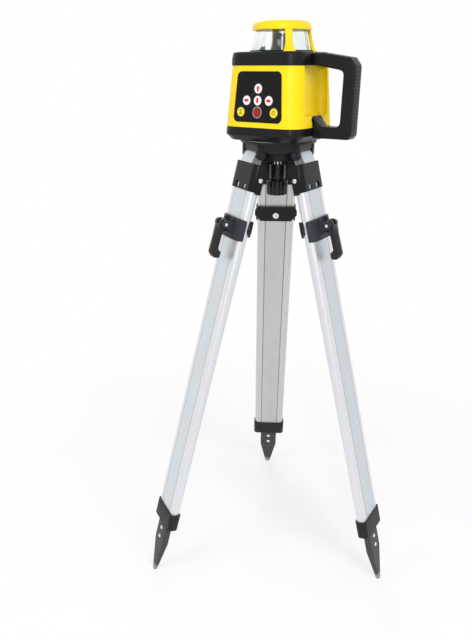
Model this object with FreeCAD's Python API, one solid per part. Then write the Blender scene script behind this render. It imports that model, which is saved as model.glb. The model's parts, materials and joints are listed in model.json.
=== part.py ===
"""Rotary laser level screwed on an aluminium surveying tripod.

The model stands on z = 0 with +Z up. The rear leg points along +Y and the front of the tripod faces -Y.
Each leg is drawn upright in its own frame and then tilted and turned into place:
X runs across the leg, Y points away from the tripod's axis, and Z runs up the leg from the head plane.
The level is drawn in its own frame too, with its base on z = 0, its keypad on -Y and its handle on +X.
"""
import FreeCAD, Part
import math
import os

Vec = FreeCAD.Vector
X_AXIS = Vec(1, 0, 0)
Y_AXIS = Vec(0, 1, 0)
Z_AXIS = Vec(0, 0, 1)
ORIGIN = Vec(0, 0, 0)

# Clearances
RUNNING_GAP = 0.05       # radial, between a shaft and its bore
BODY_GAP = 0.3           # between faces that move past each other
SLIDE_GAP = 0.5          # between the two leg profiles, per side
SEAT_GAP = 0.1           # between fixed pieces that are assembled together

# Tripod stance
HEAD_HEIGHT = 1000.0     # head's top face above the ground, legs closed up
LEG_TILT = 15.485        # degrees between a leg and the vertical
LEG_TOP_RADIUS = 47.6    # where a leg's centre line meets the plane of the head's top face
LEG_AZIMUTHS = {"rear": 0.0, "front_left": -120.0, "front_right": 120.0}

# Head
HEAD_RADIUS = 75.0
HEAD_FLANGE = 5.0
HEAD_HOLE_RADIUS = 23.0
DRUM_RADIUS = 42.0
DRUM_DEPTH = 23.0
DRUM_WALL = 4.0
DRUM_ROOF = 3.0          # metal left under the flange inside the drum
HINGE_DROP = 26.0        # head plane to hinge pin, measured down the leg
HINGE_PIN_RADIUS = 4.0
HINGE_EYE_RADIUS = 8.0
LUG_WIDTH = 46.0         # hinged end of the leg, between the head's ears
EAR_THICKNESS = 8.0
EAR_RIM = 5.5            # metal round the hinge pin
EAR_RIB_DEPTH = 8.0      # rib that ties an ear to the drum, below the flange
PIN_OVERHANG = 1.5
CARRIER_RADIUS = 40.0
CARRIER_BOTTOM = 38.6    # below the head's top face
CARRIER_WALL = 5.0

# Centre screw, 5/8 inch, and its knob
SCREW_RADIUS = 15.875 / 2
SCREW_PROUD = 13.0
SCREW_LEAD_IN = 1.5
NECK_RADIUS = 7.0
SCREW_FLANGE_RADIUS = 15.0
SCREW_FLANGE = 4.0
KNOB_TOP = 48.0
KNOB_UPPER_RADIUS = 16.0
KNOB_UPPER_HEIGHT = 28.0
KNOB_LOWER_RADIUS = 21.5
KNOB_LOWER_HEIGHT = 30.0
KNOB_WAIST = 1.5
KNOB_ROUND = 2.0
KNOB_FLUTES = 12
KNOB_FLUTE_RADIUS = 2.2
PLUMB_BORE_RADIUS = 5.0
PLUMB_BORE_DEPTH = 14.0

# Leg profiles
LEG_WIDTH = 81.0
LEG_THICKNESS = 21.0
LEG_EDGE_RADIUS = 8.0
LEG_FACE_WALL = 2.0
LEG_RAIL_WALL = 2.0
GROOVE_OFFSET = 23.0
GROOVE_RADIUS = 0.9
UPPER_WIDTH = 56.0
UPPER_WALL = 1.8
LEG_EXTENSION = 600.0
UPPER_END = 840.0        # down the leg from the head plane
UPPER_PLUG_END = 96.0
LUG_SHOULDER = 1.5       # below the yoke's top face, where the leg takes its full width
LOWER_TOP = 84.0
LOWER_END = 878.0

# Yoke
YOKE_TOP = 44.0
YOKE_OUTER_BOTTOM = 95.0
YOKE_SKIRT_BOTTOM = 98.0
YOKE_WIDTH = 88.0
YOKE_THICKNESS = 27.0
YOKE_OUTER_ROUND = 13.0
YOKE_INNER_ROUND = 6.0
YOKE_PIN_RADIUS = 3.0
YOKE_PIN_HEAD_RADIUS = 4.5
YOKE_PIN_HEAD = 1.6
YOKE_PIN_DROP = 71.0
YOKE_PIN_INSET = 4.0     # towards the tripod's axis from the leg's mid-plane
YOKE_NOTCH_WIDTH = 44.0
YOKE_NOTCH_TOP = 80.0
YOKE_NOTCH_BOTTOM = 92.0
YOKE_NOTCH_DEPTH = 1.4
YOKE_NOTCH_ROUND = 8.0
YOKE_WINDOW_OFFSET = 14.0
YOKE_WINDOW_WIDTH = 9.0
YOKE_WINDOW_HEIGHT = 8.0

# Leg clamp
CLAMP_PLATE_TOP = 150.0
CLAMP_PLATE_HEIGHT = 42.0
CLAMP_PLATE_WIDTH = 88.0
CLAMP_PLATE_THICKNESS = 7.0
CLAMP_PLATE_ROUND = 6.0
CLAMP_FLAT_WIDTH = 44.0   # flat middle, between the wings that slope back over the rails
CLAMP_WING_WIDTH = 80.0   # where the wings turn down beside the leg
CLAMP_WING_WALL = 1.8     # wing's thickness there, over the leg's face
CLAMP_WING_TURN = 3.5     # below the leg's face, where the wings' outer faces start
CLAMP_WING_REACH = 8.0    # how far the wings come round the leg's sides
CHEEK_RIM = 5.0           # metal round the lever's pin
CHEEK_FOOT = 6.0
CHEEK_SPACING = 24.0
CHEEK_THICKNESS = 6.0
CHEEK_HEIGHT = 30.0
LEVER_PIVOT_DROP = 167.0
LEVER_STANDOFF = 16.0    # clamp plate's outer face to the lever's pin
LEVER_PIN_RADIUS = 3.0
LEVER_HUB_RADIUS = 10.0
LEVER_LENGTH = 70.0
LEVER_WIDTH = 20.0
LEVER_GRIP_THICKNESS = 14.0
LEVER_TOE_RADIUS = 9.0
LEVER_TOE_TURN = 2.0      # how far the toe stands in from the grip's inner face
LEVER_LEAN = 3.0          # outward, over the grip's length
LEVER_ROOT = 2.0          # inner face of the grip at the hub, in from the pin
BOLT_RADIUS = 3.0
BOLT_HOLE_RADIUS = 3.4
BOLT_HEAD_RADIUS = 7.0
BOLT_HEAD_HEIGHT = 4.0
BOLT_HEAD_ROUND = 1.5
BOLT_SOCKET_RADIUS = 2.5
BOLT_SOCKET_DEPTH = 2.5
BOLT_PIN_PROUD = 1.0
BOLT_EYE_WIDTH = 8.0
BOLT_EYE_RIM = 2.5
UPPER_SLOT_WIDTH = 8.0
SLOT_SPARE = 8.0         # slot past the bolt at both ends of the travel
BAND_TOP = 150.0
BAND_HEIGHT = 32.0
BAND_WIDTH = 93.0
BAND_THICKNESS = 6.0
BAND_LIP_REACH = 4.5     # how far the lips come round the leg's sides
BAND_BEVEL = 12.0
BAND_UPPER_CUT = 5.0     # width of the corners cut off at the band's upper edge
BAND_LOWER_CUT = 13.0
BAND_CUT_HEIGHT = 11.0

# Foot
CAP_TOP = 850.0
CAP_BOTTOM = 892.0
CAP_WIDTH = 88.0
CAP_THICKNESS = 27.0
CAP_ROUND = 9.0
SHOE_WIDTH = 47.0
SHOE_THICKNESS = 17.0
SHOE_TENON_TOP = 852.0
SHOE_TAPER_TOP = 950.0
SHOE_TIP_WIDTH = 12.0
SHOE_TIP_THICKNESS = 8.0
RIVET_DROPS = (912.0, 937.0)
RIVET_RADIUS = 2.5
RIVET_HEAD_RADIUS = 5.0
RIVET_HEAD = 1.8

# Laser level's housing
LEVEL_YAW = -32.0        # keypad turned to the left of the tripod's front
LEVEL_WIDTH = 170.0
LEVEL_DEPTH = 162.0
LEVEL_CORNER = 32.0
LEVEL_TAPER = 0.0776     # each side leans in by this much per unit of height
BASE_HEIGHT = 24.0
BASE_CHAMFER = 10.0
SHELL_TOP = 126.0
TOP_HEIGHT = 148.0
RIM_PROUD = 1.5
RIM_ROUND = 4.0
LEVEL_WALL = 3.5
FLOOR_THICKNESS = 4.0
RECESS_DEPTH = 13.0
RECESS_HALF_WIDTH = 42.0
RECESS_BOTTOM = 44.0
RECESS_ROUND = 12.0
HORN_HEIGHT = 12.0
HORN_WIDTH = 26.0
HORN_DEPTH = 9.0
HORN_ROOT = 6.0          # how far the horn starts below the rim's top
HORN_INSET = 0.5         # in from the rim's outer face
HORN_LEAN = 1.5
HORN_TIP = 4.0           # how far behind the corner's start the tip stands

# Handle
HANDLE_REACH = 160.0
HANDLE_DEPTH = 32.0
HANDLE_GRIP = 24.0
HANDLE_GAP_START = 88.0
HANDLE_BOTTOM = 6.0
HANDLE_LOWER_ARM = 20.0
HANDLE_UPPER_ARM = 20.0
HANDLE_TOP_DROP = 9.0
HANDLE_ROUND = 9.0
HANDLE_EDGE_ROUND = 6.0
HANDLE_TOP_GAP = 2.0     # handle's top below the rim's top
HANDLE_HEEL_CUT = 4.0    # slanted corners of the grip's outline
HANDLE_HEEL_RISE = 10.0
HANDLE_SHOULDER_CUT = 10.0
HANDLE_SHOULDER_DROP = 8.0
HANDLE_SHOULDER_LEAN = 2.0
HANDLE_ROOT = 40.0       # where the outline starts, inside the housing
HANDLE_GAP_SPARE = 30.0  # finger gap's outline runs this far into the housing

# Keypad
PANEL_BOTTOM = 33.0
PANEL_HEIGHT = 84.0
PANEL_WIDTH_BOTTOM = 106.0
PANEL_WIDTH_TOP = 92.0
PANEL_ROUND = 9.0
PANEL_THICKNESS = 2.5
PANEL_PROUD = 1.0
BUTTON_RADIUS = 7.75
BUTTON_PROUD = 1.4
BUTTON_TRAVEL = 0.8
BUTTON_FLANGE = 1.0      # wider than the button, behind the panel
BUTTON_FLANGE_THICKNESS = 1.2
BUTTON_STEM_RADIUS = 2.5
BUTTON_PITCH_ACROSS = 24.0
BUTTON_PITCH_UP = 19.6
FUNCTION_KEY_OFFSET = 36.0
BUTTON_FIRST_ROW = 17.0
BOARD_DEPTH = 14.0       # panel's face to the circuit board's face
BOARD_THICKNESS = 1.6
BOARD_WIDTH = 96.0
BOARD_HEIGHT = 66.0
BOARD_POST_RADIUS = 3.0
BUTTONS = {
    "key_up": (0.0, 2),
    "key_left": (-BUTTON_PITCH_ACROSS, 1),
    "key_down": (0.0, 1),
    "key_right": (BUTTON_PITCH_ACROSS, 1),
    "key_scan": (-FUNCTION_KEY_OFFSET, 0),
    "key_manual": (0.0, 0),
    "key_power": (FUNCTION_KEY_OFFSET, 0),
}

# Lantern, rotor and levelling unit
LANTERN_BOTTOM_RADIUS = 56.0
LANTERN_TOP_RADIUS = 47.0
LANTERN_HEIGHT = 34.0
GLASS_THICKNESS = 2.5
CAP_DISC_RADIUS = 54.0
CAP_DISC_HEIGHT = 16.0
CAP_DISC_CHAMFER = 5.0
PILLAR_WIDTH = 15.0
PILLAR_FOOT_SPREAD = 8.0
PILLAR_THICKNESS = 7.0
PILLAR_FOOT_EXTRA = 3.0   # thicker at the foot, and thinner by the next value at the top
PILLAR_TOP_LESS = 1.0
PILLAR_GAP = 0.6          # between the glass and a pillar
PILLAR_ANGLES = (-45.0, 45.0, 135.0)
WELL_RADIUS = 27.0
WELL_WALL = 12.0
GIMBAL_HEIGHT = 104.0
GIMBAL_OUTER_RADIUS = 31.0
GIMBAL_INNER_RADIUS = 23.0
GIMBAL_THICKNESS = 10.0
TRUNNION_RADIUS = 2.5
TRUNNION_LENGTH = 8.0
HANGER_THICKNESS = 6.0
HANGER_WIDTH = 16.0
BARREL_RADIUS = 15.0
BARREL_TOP = 134.0
BARREL_BOTTOM = 60.0
BARREL_BORE_RADIUS = 9.0
SPINDLE_RADIUS = 6.0
SPINDLE_BOTTOM = 112.0
MOTOR_RADIUS = 19.0
MOTOR_HEIGHT = 12.0
ROTOR_RADIUS = 16.0
ROTOR_BOTTOM = 152.0
ROTOR_HEIGHT = 26.0
ROTOR_WINDOW = 14.0
ROTOR_ROUND = 3.0
ROTOR_FLOOR = 6.0        # holder's bottom to the end of the beam's bore
SPINDLE_WALL = 2.0
SPINDLE_COLLAR = 4.0
PRISM_SIZE = 13.0
PRISM_FRONT_HEIGHT = 9.1
PRISM_BACK_HEIGHT = 10.4
PRISM_TOP_CUT = 4.0

# Base insert and battery pack
INSERT_RADIUS = 19.0
INSERT_HEIGHT = 18.0
INSERT_WALL = 5.0
BATTERY_WIDTH = 88.0
BATTERY_DEPTH = 42.0
BATTERY_HEIGHT = 34.0
BATTERY_DOOR = 3.0
BATTERY_DOOR_MARGIN = 6.0


# ---------------------------------------------------------------- helpers

def box(x_low, x_high, y_low, y_high, z_low, z_high):
    corner = Vec(x_low, y_low, z_low)
    return Part.makeBox(x_high - x_low, y_high - y_low, z_high - z_low, corner)


def rod(radius, start, end):
    run = end - start
    return Part.makeCylinder(radius, run.Length, start, run)


def fuse_all(shapes):
    return shapes[0].multiFuse(shapes[1:]).removeSplitter()


def fillet_where(shape, radius, test):
    edges = [edge for edge in shape.Edges if test(edge)]
    return shape.makeFillet(radius, edges)


def runs_along(edge, axis):
    if not isinstance(edge.Curve, (Part.Line, Part.LineSegment)):
        return False
    direction = edge.Vertexes[-1].Point - edge.Vertexes[0].Point
    return direction.Length > 1e-6 and abs(direction.normalize().dot(axis)) > 0.999


def rounded_wire(width, depth, radius, z):
    half_x = width / 2
    half_y = depth / 2
    corners = []
    for sign_x, sign_y in ((1, 1), (-1, 1), (-1, -1), (1, -1)):
        corners.append(Vec(sign_x * (half_x - radius), sign_y * (half_y - radius), z))
    edges = []
    for index, centre in enumerate(corners):
        first = math.radians(90 * index)
        points = []
        for angle in (first, first + math.pi / 4, first + math.pi / 2):
            points.append(centre + Vec(radius * math.cos(angle), radius * math.sin(angle), 0))
        edges.append(Part.Arc(*points).toShape())
    ring = []
    for index, arc in enumerate(edges):
        following = edges[(index + 1) % 4]
        ring.append(arc)
        ring.append(Part.LineSegment(arc.Vertexes[-1].Point, following.Vertexes[0].Point).toShape())
    return Part.Wire(ring)


def rounded_block(width, depth, radius, z_low, z_high):
    face = Part.Face(rounded_wire(width, depth, radius, z_low))
    return face.extrude(Vec(0, 0, z_high - z_low))


def drum(radius, z_low, z_high, hole_radius=0.0):
    shape = rod(radius, Vec(0, 0, z_low), Vec(0, 0, z_high))
    if hole_radius > 0:
        reach = 1.0
        shape = shape.cut(rod(hole_radius, Vec(0, 0, z_low - reach), Vec(0, 0, z_high + reach)))
    return shape


def upright_polygon(points, thickness):
    """Extrudes a polygon of (x, z) points along Y, centred on y = 0."""
    corners = [Vec(x, -thickness / 2, z) for x, z in points]
    face = Part.Face(Part.makePolygon(corners + corners[:1]))
    return face.extrude(Vec(0, thickness, 0))


def placed_on_leg(shape, azimuth):
    leg = shape.copy()
    leg.rotate(ORIGIN, X_AXIS, LEG_TILT)
    leg.translate(Vec(0, LEG_TOP_RADIUS, HEAD_HEIGHT))
    leg.rotate(ORIGIN, Z_AXIS, -azimuth)
    return leg


def placed_on_head(shape):
    level = shape.copy()
    level.rotate(ORIGIN, Z_AXIS, LEVEL_YAW)
    level.translate(Vec(0, 0, HEAD_HEIGHT + BODY_GAP))
    return level


# ---------------------------------------------------------------- tripod head

def hinge_point():
    tilt = math.radians(LEG_TILT)
    return LEG_TOP_RADIUS + HINGE_DROP * math.sin(tilt), -HINGE_DROP * math.cos(tilt)


def ear_inner():
    return LUG_WIDTH / 2 + BODY_GAP


def ear_outer():
    return ear_inner() + EAR_THICKNESS


def ear(side):
    """One hinge ear hung from the flange, with a shallow rib back to the drum."""
    pin_radius, pin_z = hinge_point()
    rim = HINGE_PIN_RADIUS + EAR_RIM
    low = min(side * ear_inner(), side * ear_outer())
    high = max(side * ear_inner(), side * ear_outer())
    web = box(low, high, pin_radius - rim, pin_radius + rim, pin_z, -HEAD_FLANGE / 2)
    tip = rod(rim, Vec(low, pin_radius, pin_z), Vec(high, pin_radius, pin_z))
    rib = box(low, high, 0, pin_radius, -HEAD_FLANGE - EAR_RIB_DEPTH, -HEAD_FLANGE / 2)
    return fuse_all([web, tip, rib])


def head_casting():
    """Flange, hollow drum and three pairs of hinge ears, with the head's top face at z = 0."""
    pin_radius, pin_z = hinge_point()
    pieces = [drum(HEAD_RADIUS, -HEAD_FLANGE, 0), drum(DRUM_RADIUS, -DRUM_DEPTH, 0)]
    for azimuth in LEG_AZIMUTHS.values():
        for side in (-1, 1):
            turned = ear(side)
            turned.rotate(ORIGIN, Z_AXIS, -azimuth)
            pieces.append(turned)
    body = fuse_all(pieces)
    carrier_room = CARRIER_RADIUS + SEAT_GAP
    ear_foot = pin_z - HINGE_PIN_RADIUS - EAR_RIM
    body = body.cut(drum(carrier_room, min(-CARRIER_BOTTOM, ear_foot) - 1, -DRUM_DEPTH))
    for azimuth in LEG_AZIMUTHS.values():
        reach = ear_outer() + 1
        bore = rod(HINGE_PIN_RADIUS, Vec(-reach, pin_radius, pin_z), Vec(reach, pin_radius, pin_z))
        bore.rotate(ORIGIN, Z_AXIS, -azimuth)
        body = body.cut(bore)
    body = body.cut(drum(HEAD_HOLE_RADIUS, -DRUM_DEPTH - 1, 1))
    hollow = drum(DRUM_RADIUS - DRUM_WALL, -DRUM_DEPTH - 1, -HEAD_FLANGE - DRUM_ROOF, HEAD_HOLE_RADIUS + DRUM_WALL)
    return body.cut(hollow)


def hinge_pin_set():
    pin_radius, pin_z = hinge_point()
    pins = []
    for azimuth in LEG_AZIMUTHS.values():
        reach = ear_outer() + PIN_OVERHANG
        pin = rod(HINGE_PIN_RADIUS, Vec(-reach, pin_radius, pin_z), Vec(reach, pin_radius, pin_z))
        pin.rotate(ORIGIN, Z_AXIS, -azimuth)
        pins.append(pin)
    return Part.Compound(pins)


def screw_carrier():
    """Shallow cup under the head that holds the centre screw up."""
    cup = drum(CARRIER_RADIUS, -CARRIER_BOTTOM, -DRUM_DEPTH)
    inside = drum(CARRIER_RADIUS - CARRIER_WALL, -CARRIER_BOTTOM + CARRIER_WALL, -DRUM_DEPTH + 1)
    cup = cup.cut(inside)
    boss = drum(NECK_RADIUS + CARRIER_WALL, -CARRIER_BOTTOM, -DRUM_DEPTH)
    cup = fuse_all([cup, boss])
    return cup.cut(drum(NECK_RADIUS + RUNNING_GAP, -CARRIER_BOTTOM - 1, 1))


def centre_screw():
    flange_low = -DRUM_DEPTH + BODY_GAP
    flange = drum(SCREW_FLANGE_RADIUS, flange_low, flange_low + SCREW_FLANGE)
    thread = drum(SCREW_RADIUS, flange_low, SCREW_PROUD)
    top_edges = [edge for edge in thread.Edges if abs(edge.CenterOfMass.z - SCREW_PROUD) < 1e-6]
    thread = thread.makeChamfer(SCREW_LEAD_IN, top_edges)
    neck_low = -KNOB_TOP - KNOB_UPPER_HEIGHT
    neck = drum(NECK_RADIUS, neck_low, flange_low)
    return fuse_all([flange, thread, neck])


def screw_knob():
    upper_low = -KNOB_TOP - KNOB_UPPER_HEIGHT
    lower_low = upper_low - KNOB_LOWER_HEIGHT
    upper = drum(KNOB_UPPER_RADIUS, upper_low, -KNOB_TOP)
    waist = drum(KNOB_UPPER_RADIUS - KNOB_WAIST, upper_low - KNOB_WAIST, upper_low)
    lower = drum(KNOB_LOWER_RADIUS, lower_low, upper_low - KNOB_WAIST)
    rounded = [edge for edge in lower.Edges if isinstance(edge.Curve, Part.Circle)]
    lower = lower.makeFillet(KNOB_ROUND, rounded)
    for index in range(KNOB_FLUTES):
        angle = 2 * math.pi * index / KNOB_FLUTES
        spot = Vec(math.cos(angle), math.sin(angle), 0) * (KNOB_LOWER_RADIUS + KNOB_FLUTE_RADIUS / 3)
        flute = rod(KNOB_FLUTE_RADIUS, spot + Vec(0, 0, lower_low - 1), spot + Vec(0, 0, upper_low))
        lower = lower.cut(flute)
    knob = fuse_all([upper, waist, lower])
    knob = knob.cut(drum(NECK_RADIUS, upper_low, 0))
    return knob.cut(drum(PLUMB_BORE_RADIUS, lower_low - 1, lower_low + PLUMB_BORE_DEPTH))


# ---------------------------------------------------------------- legs

def cavity_width():
    return UPPER_WIDTH + 2 * SLIDE_GAP


def cavity_thickness():
    return LEG_THICKNESS - 2 * LEG_FACE_WALL


def upper_thickness():
    return cavity_thickness() - 2 * SLIDE_GAP


def across(radius, drop, inset, half_length):
    """A rod across the leg at a given drop, moved in towards the tripod's axis by inset."""
    return rod(radius, Vec(-half_length, -inset, -drop), Vec(half_length, -inset, -drop))


def through(radius, drop, y_low, y_high):
    """A rod through the leg's thickness on its centre line."""
    return rod(radius, Vec(0, y_low, -drop), Vec(0, y_high, -drop))


def hinge_lug():
    """Hinged end: an eye round the pin whose outer face slopes out to the yoke's outer face."""
    half = LUG_WIDTH / 2
    foot = -YOKE_TOP + SEAT_GAP
    reach = YOKE_THICKNESS / 2 - SLIDE_GAP
    run = math.hypot(reach, HINGE_DROP + foot)
    angle = math.atan2(HINGE_DROP + foot, reach) + math.acos(HINGE_EYE_RADIUS / run)
    touch_y = HINGE_EYE_RADIUS * math.cos(angle)
    touch_z = HINGE_EYE_RADIUS * math.sin(angle) - HINGE_DROP
    corners = [Vec(-half, touch_y, touch_z), Vec(-half, reach, foot), Vec(-half, -HINGE_EYE_RADIUS, foot),
               Vec(-half, -HINGE_EYE_RADIUS, -HINGE_DROP)]
    wedge = Part.Face(Part.makePolygon(corners + corners[:1])).extrude(Vec(LUG_WIDTH, 0, 0))
    return fuse_all([wedge, across(HINGE_EYE_RADIUS, HINGE_DROP, 0, half)])


def upper_leg():
    """Flat box profile with a solid hinged end and a long slot for the clamp's bolt."""
    half = UPPER_WIDTH / 2
    depth = upper_thickness() / 2
    bar = box(-half, half, -depth, depth, -UPPER_END, -YOKE_TOP - LUG_SHOULDER)
    neck = box(-LUG_WIDTH / 2, LUG_WIDTH / 2, -depth, depth, -YOKE_TOP - LUG_SHOULDER, -HINGE_DROP)
    leg = fuse_all([bar, neck, hinge_lug()])
    hollow_half = half - UPPER_WALL
    hollow_depth = depth - UPPER_WALL
    hollow = box(-hollow_half, hollow_half, -hollow_depth, hollow_depth, -UPPER_END - 1, -UPPER_PLUG_END)
    slot_top = -LEVER_PIVOT_DROP + BOLT_RADIUS + SLOT_SPARE
    slot_bottom = -LEVER_PIVOT_DROP - LEG_EXTENSION - BOLT_RADIUS - SLOT_SPARE
    slot_half = UPPER_SLOT_WIDTH / 2
    slot = box(-slot_half, slot_half, -LEG_THICKNESS, LEG_THICKNESS, slot_bottom, slot_top)
    leg = leg.cut(hollow).cut(slot)
    leg = leg.cut(across(HINGE_PIN_RADIUS + RUNNING_GAP, HINGE_DROP, 0, UPPER_WIDTH))
    return leg.cut(across(YOKE_PIN_RADIUS, YOKE_PIN_DROP, YOKE_PIN_INSET, UPPER_WIDTH))


def yoke_windows():
    """Shallow arched notch low on the yoke's outer face, with a window through to the leg near each end."""
    depth = YOKE_THICKNESS / 2
    half = YOKE_NOTCH_WIDTH / 2
    notch = box(-half, half, depth - YOKE_NOTCH_DEPTH, depth + 1, -YOKE_NOTCH_BOTTOM, -YOKE_NOTCH_TOP)
    notch = fillet_where(notch, YOKE_NOTCH_ROUND, lambda edge: runs_along(edge, Y_AXIS)
                         and edge.CenterOfMass.z > -YOKE_NOTCH_TOP - 1)
    cuts = [notch]
    for side in (-1, 1):
        centre = side * YOKE_WINDOW_OFFSET
        cuts.append(box(centre - YOKE_WINDOW_WIDTH / 2, centre + YOKE_WINDOW_WIDTH / 2, LEG_THICKNESS / 2, depth + 1,
                        -YOKE_NOTCH_BOTTOM, -YOKE_NOTCH_BOTTOM + YOKE_WINDOW_HEIGHT))
    return fuse_all(cuts)


def yoke():
    """Black sleeve on the upper leg; its skirt covers the lower leg's top end."""
    half = YOKE_WIDTH / 2
    depth = YOKE_THICKNESS / 2
    block = box(-half, half, -depth, depth, -YOKE_SKIRT_BOTTOM, -YOKE_TOP)
    block = fillet_where(block, YOKE_OUTER_ROUND, lambda edge: runs_along(edge, Z_AXIS) and edge.CenterOfMass.y > 0)
    block = fillet_where(block, YOKE_INNER_ROUND,
                         lambda edge: runs_along(edge, Z_AXIS) and abs(edge.CenterOfMass.y + depth) < 1e-3
                         and edge.CenterOfMass.x * edge.CenterOfMass.x > half * half - 1)
    leg_room = rounded_block(LEG_WIDTH + 2 * SLIDE_GAP, LEG_THICKNESS + 2 * SLIDE_GAP,
                             LEG_EDGE_RADIUS + SLIDE_GAP, -YOKE_SKIRT_BOTTOM - 1, -LOWER_TOP + SLIDE_GAP)
    front_step = box(-half, half, 0, depth + 1, -YOKE_SKIRT_BOTTOM - 1, -YOKE_OUTER_BOTTOM)
    block = block.cut(leg_room).cut(front_step)
    pocket_half = UPPER_WIDTH / 2 + SEAT_GAP
    pocket_depth = upper_thickness() / 2 + SEAT_GAP
    pocket = box(-pocket_half, pocket_half, -pocket_depth, pocket_depth, -YOKE_SKIRT_BOTTOM, -YOKE_TOP + 1)
    block = block.cut(pocket).cut(yoke_windows())
    return block.cut(across(YOKE_PIN_RADIUS, YOKE_PIN_DROP, YOKE_PIN_INSET, YOKE_WIDTH))


def yoke_pin():
    half = YOKE_WIDTH / 2
    shank = across(YOKE_PIN_RADIUS, YOKE_PIN_DROP, YOKE_PIN_INSET, half)
    pieces = [shank]
    for side in (-1, 1):
        start = Vec(side * half, -YOKE_PIN_INSET, -YOKE_PIN_DROP)
        pieces.append(rod(YOKE_PIN_HEAD_RADIUS, start, start + Vec(side * YOKE_PIN_HEAD, 0, 0)))
    return fuse_all(pieces)


def lower_leg():
    """Outer profile: round side rails, a flat web with two grooves on each face, hollow inside."""
    profile = rounded_block(LEG_WIDTH, LEG_THICKNESS, LEG_EDGE_RADIUS, -LOWER_END, -LOWER_TOP)
    half_cavity = cavity_width() / 2
    depth = cavity_thickness() / 2
    profile = profile.cut(box(-half_cavity, half_cavity, -depth, depth, -LOWER_END - 1, -LOWER_TOP + 1))
    rail_low = half_cavity + LEG_RAIL_WALL
    rail_high = LEG_WIDTH / 2 - LEG_RAIL_WALL
    rail_depth = depth - LEG_RAIL_WALL
    for side in (-1, 1):
        low = min(side * rail_low, side * rail_high)
        high = max(side * rail_low, side * rail_high)
        profile = profile.cut(box(low, high, -rail_depth, rail_depth, -LOWER_END - 1, -LOWER_TOP + 1))
        for face in (-1, 1):
            spot = Vec(side * GROOVE_OFFSET, face * LEG_THICKNESS / 2, 0)
            groove = rod(GROOVE_RADIUS, spot + Vec(0, 0, -LOWER_END - 1), spot + Vec(0, 0, -LOWER_TOP + 1))
            profile = profile.cut(groove)
    return profile.cut(through(BOLT_HOLE_RADIUS, LEVER_PIVOT_DROP, -LEG_THICKNESS, LEG_THICKNESS))


def lever_pivot_offset():
    return LEG_THICKNESS / 2 + CLAMP_PLATE_THICKNESS + LEVER_STANDOFF


def leg_clearance(z_low, z_high):
    """The leg's outside with the fixed pieces' clearance round it."""
    return rounded_block(LEG_WIDTH + 2 * SEAT_GAP, LEG_THICKNESS + 2 * SEAT_GAP, LEG_EDGE_RADIUS, z_low, z_high)


def along_leg(points, z_low, z_high):
    """Extrudes a polygon of (x, y) points along the leg."""
    corners = [Vec(x, y, z_low) for x, y in points]
    return Part.Face(Part.makePolygon(corners + corners[:1])).extrude(Vec(0, 0, z_high - z_low))


def wing_plate():
    """Flat middle with wings that slope back over the rails and turn down beside the leg."""
    face = LEG_THICKNESS / 2
    half = CLAMP_PLATE_WIDTH / 2
    top = -CLAMP_PLATE_TOP
    bottom = top - CLAMP_PLATE_HEIGHT
    right = [(half, face - CLAMP_WING_REACH), (half, face - CLAMP_WING_TURN),
             (CLAMP_WING_WIDTH / 2, face + CLAMP_WING_WALL), (CLAMP_FLAT_WIDTH / 2, face + CLAMP_PLATE_THICKNESS)]
    left = [(-x, y) for x, y in reversed(right)]
    plate = along_leg(right + left, bottom, top)
    outline = upright_polygon([(-half, bottom), (half, bottom), (half, top), (-half, top)], 4 * LEG_THICKNESS)
    outline = fillet_where(outline, CLAMP_PLATE_ROUND, lambda edge: runs_along(edge, Y_AXIS))
    return plate.common(outline).cut(leg_clearance(bottom - 1, top + 1))


def clamp_plate():
    """Outer clamp plate with the two cheeks that carry the lever's pin."""
    crest = LEG_THICKNESS / 2 + CLAMP_PLATE_THICKNESS
    pieces = [wing_plate()]
    pivot = lever_pivot_offset()
    rim = LEVER_PIN_RADIUS + CHEEK_RIM
    middle = -LEVER_PIVOT_DROP
    for side in (-1, 1):
        near = side * CHEEK_SPACING / 2
        far = side * (CHEEK_SPACING / 2 + CHEEK_THICKNESS)
        low = min(near, far)
        high = max(near, far)
        web = box(low, high, crest - 1, pivot, middle - rim, middle + rim)
        tip = rod(rim, Vec(low, pivot, middle), Vec(high, pivot, middle))
        foot = box(low, high, crest - 1, crest + CHEEK_FOOT, middle - CHEEK_HEIGHT / 2, middle + CHEEK_HEIGHT / 2)
        pieces += [web, tip, foot]
    plate = fuse_all(pieces)
    plate = plate.cut(through(BOLT_HOLE_RADIUS, LEVER_PIVOT_DROP, 0, crest + 1))
    return plate.cut(across(LEVER_PIN_RADIUS, LEVER_PIVOT_DROP, -pivot, CLAMP_PLATE_WIDTH / 2))


def band_corner(side, end):
    """Wedge cut off one corner of the band; the lower corners lose more than the upper ones."""
    half = BAND_WIDTH / 2
    width = BAND_UPPER_CUT if end > 0 else BAND_LOWER_CUT
    edge = -BAND_TOP if end > 0 else -BAND_TOP - BAND_HEIGHT
    points = [(side * half, edge), (side * (half - width), edge), (side * half, edge - end * BAND_CUT_HEIGHT)]
    return upright_polygon(points, 4 * LEG_THICKNESS)


def clamp_band():
    """Inner clamp plate whose bevelled ends come round the leg's sides."""
    half = BAND_WIDTH / 2
    face = -LEG_THICKNESS / 2
    back = face - BAND_THICKNESS
    front = face + BAND_LIP_REACH
    z_low = -BAND_TOP - BAND_HEIGHT
    points = [(-half, front), (-half, face), (-half + BAND_BEVEL, back),
              (half - BAND_BEVEL, back), (half, face), (half, front)]
    block = along_leg(points, z_low, -BAND_TOP).cut(leg_clearance(z_low - 1, 1 - BAND_TOP))
    for side in (-1, 1):
        for end in (-1, 1):
            block = block.cut(band_corner(side, end))
    return block.cut(through(BOLT_HOLE_RADIUS, LEVER_PIVOT_DROP, back - 1, front))


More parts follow.
